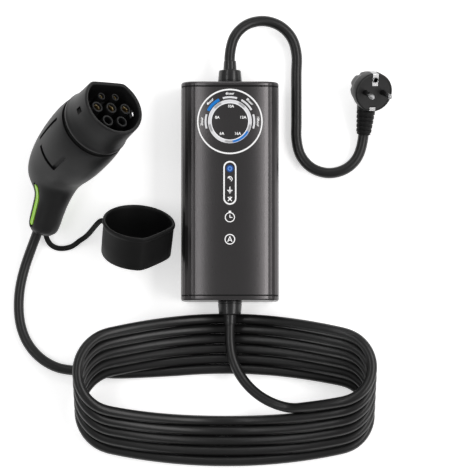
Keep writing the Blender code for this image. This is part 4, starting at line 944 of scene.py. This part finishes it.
drilled(body, boot, (0, 0, 0.01425), 0.0102, 0.0135, 64, 0.0092, "UNION")
PIN_X = 0.0095
EARTH_Y = 0.01274
for side in (-1, 1):
    drilled(body, plug, (side * PIN_X, 0, -0.004), 0.0027, 0.012)
for y, deep in ((0.0131, 0.0130), (-0.0172, 0.0050)):
    carved(body, box_shape((0.0070, deep + 0.0006, 0.0036), (0, y, 0)), plug)
    carved(body, box_shape((0.0070, 0.0050, 0.0135), (0, math.copysign(0.0195, y), -0.0062)), plug)
drilled(body, plug, (0, EARTH_Y, -0.004), 0.0026, 0.02)
softened(body, 0.00025, 2, 40)

# Each pin is nickel-plated at its tip and sleeved in black plastic at its root.
for index, side in ((1, -1), (2, 1)):
    at = plug @ Matrix.Translation((side * PIN_X, 0, 0))
    tip = [(x, 0.0166 + z) for x, z in (polar(0.0024, angle) for angle in range(0, 90, 10))]
    lathe(f"pin_metal_{index}", [(0, -0.0075), (0.0019, -0.0075), (0.0019, 0.0098), (0.0023, 0.0102)]
          + tip + [(0, 0.0190)], at, nickel, 40, (f"plug_pin_{index}",))
    lathe(f"pin_sleeve_{index}", eased([(0.0019, -0.0070), (0.0024, -0.0070), (0.0024, 0.0100),
                                        (0.0019, 0.0100), (0.0019, -0.0070)], 0.0003), at, moulded,
          40)

# Earth clips: bent spring plates, the upper with a round socket for the wall outlet's pin.
for index, side, deep in ((1, 1, 0.0130), (2, -1, 0.0045)):
    turn = plug @ placed((0, 0, 0), (0, side, 0), (side, 0, 0))
    path = [(0.0195 - deep, -0.0002), (0.0195 - deep, -0.0011), (0.0178, -0.0011), (0.0178, -0.0116),
            (0.0190, -0.0116), (0.0190, -0.0010), (0.0186, -0.0002)]
    clip = skin([[(x, y, z) for x, y in path] for z in (-0.0032, 0.0032)])
    piece = finished(f"earth_spring_{index}", clip, turn, nickel,
                     (f"plug_earth_clip_{index}",), 30)
    if side > 0:
        at = plug @ Matrix.Translation((0, EARTH_Y, 0))
        drilled(piece, at, (0, 0, 0), 0.0023, 0.01, 40)
        rim = eased([(0.0023, -0.0008), (0.0031, -0.0008), (0.0031, 0.0003), (0.0026, 0.0007),
                     (0.0023, 0.0005), (0.0023, -0.0008)], 0.0002)
        lathe("earth_socket_rim", rim, at, nickel, 40)
    softened(piece, 0.00025, 2, 40)

# Boot: a soft ribbed sleeve that tapers to the lead.
profile = [(0.00535, 0.0215), (0.0090, 0.0215)]
for rib in range(5):
    start = 0.0215 + 0.0046 * rib + 0.0012
    radius = 0.0091 - 0.00038 * rib
    profile += [(radius, start), (radius, start + 0.0029), (radius - 0.0012, start + 0.0032),
                (radius - 0.0012, start + 0.0043)]
profile += [(0.0072, 0.0460), (0.00535, 0.0464)]
lathe("plug_boot_ribbed", eased(profile, 0.0004), boot, rubber, 56, ("plug_boot",))

# Cords
# The CAD pieces that hang on each cable are given their materials. The plug is moulded on the
# mains lead's end, and the connector, with its cap, is clamped on the car cable's.
dress(moulded, "gun_body", "front_shroud", "contact_carrier", "plug_body")
dress(rubber, "seal_ring", "cap", "cap_strap", "plug_boot")
dress(brass, *(name for name in nodes if name.startswith(("contact_power", "contact_signal"))))
dress(lime, "green_strip_left", "green_strip_right")
dress(nickel, "plug_pin_1", "plug_pin_2", "plug_earth_clip_1", "plug_earth_clip_2")
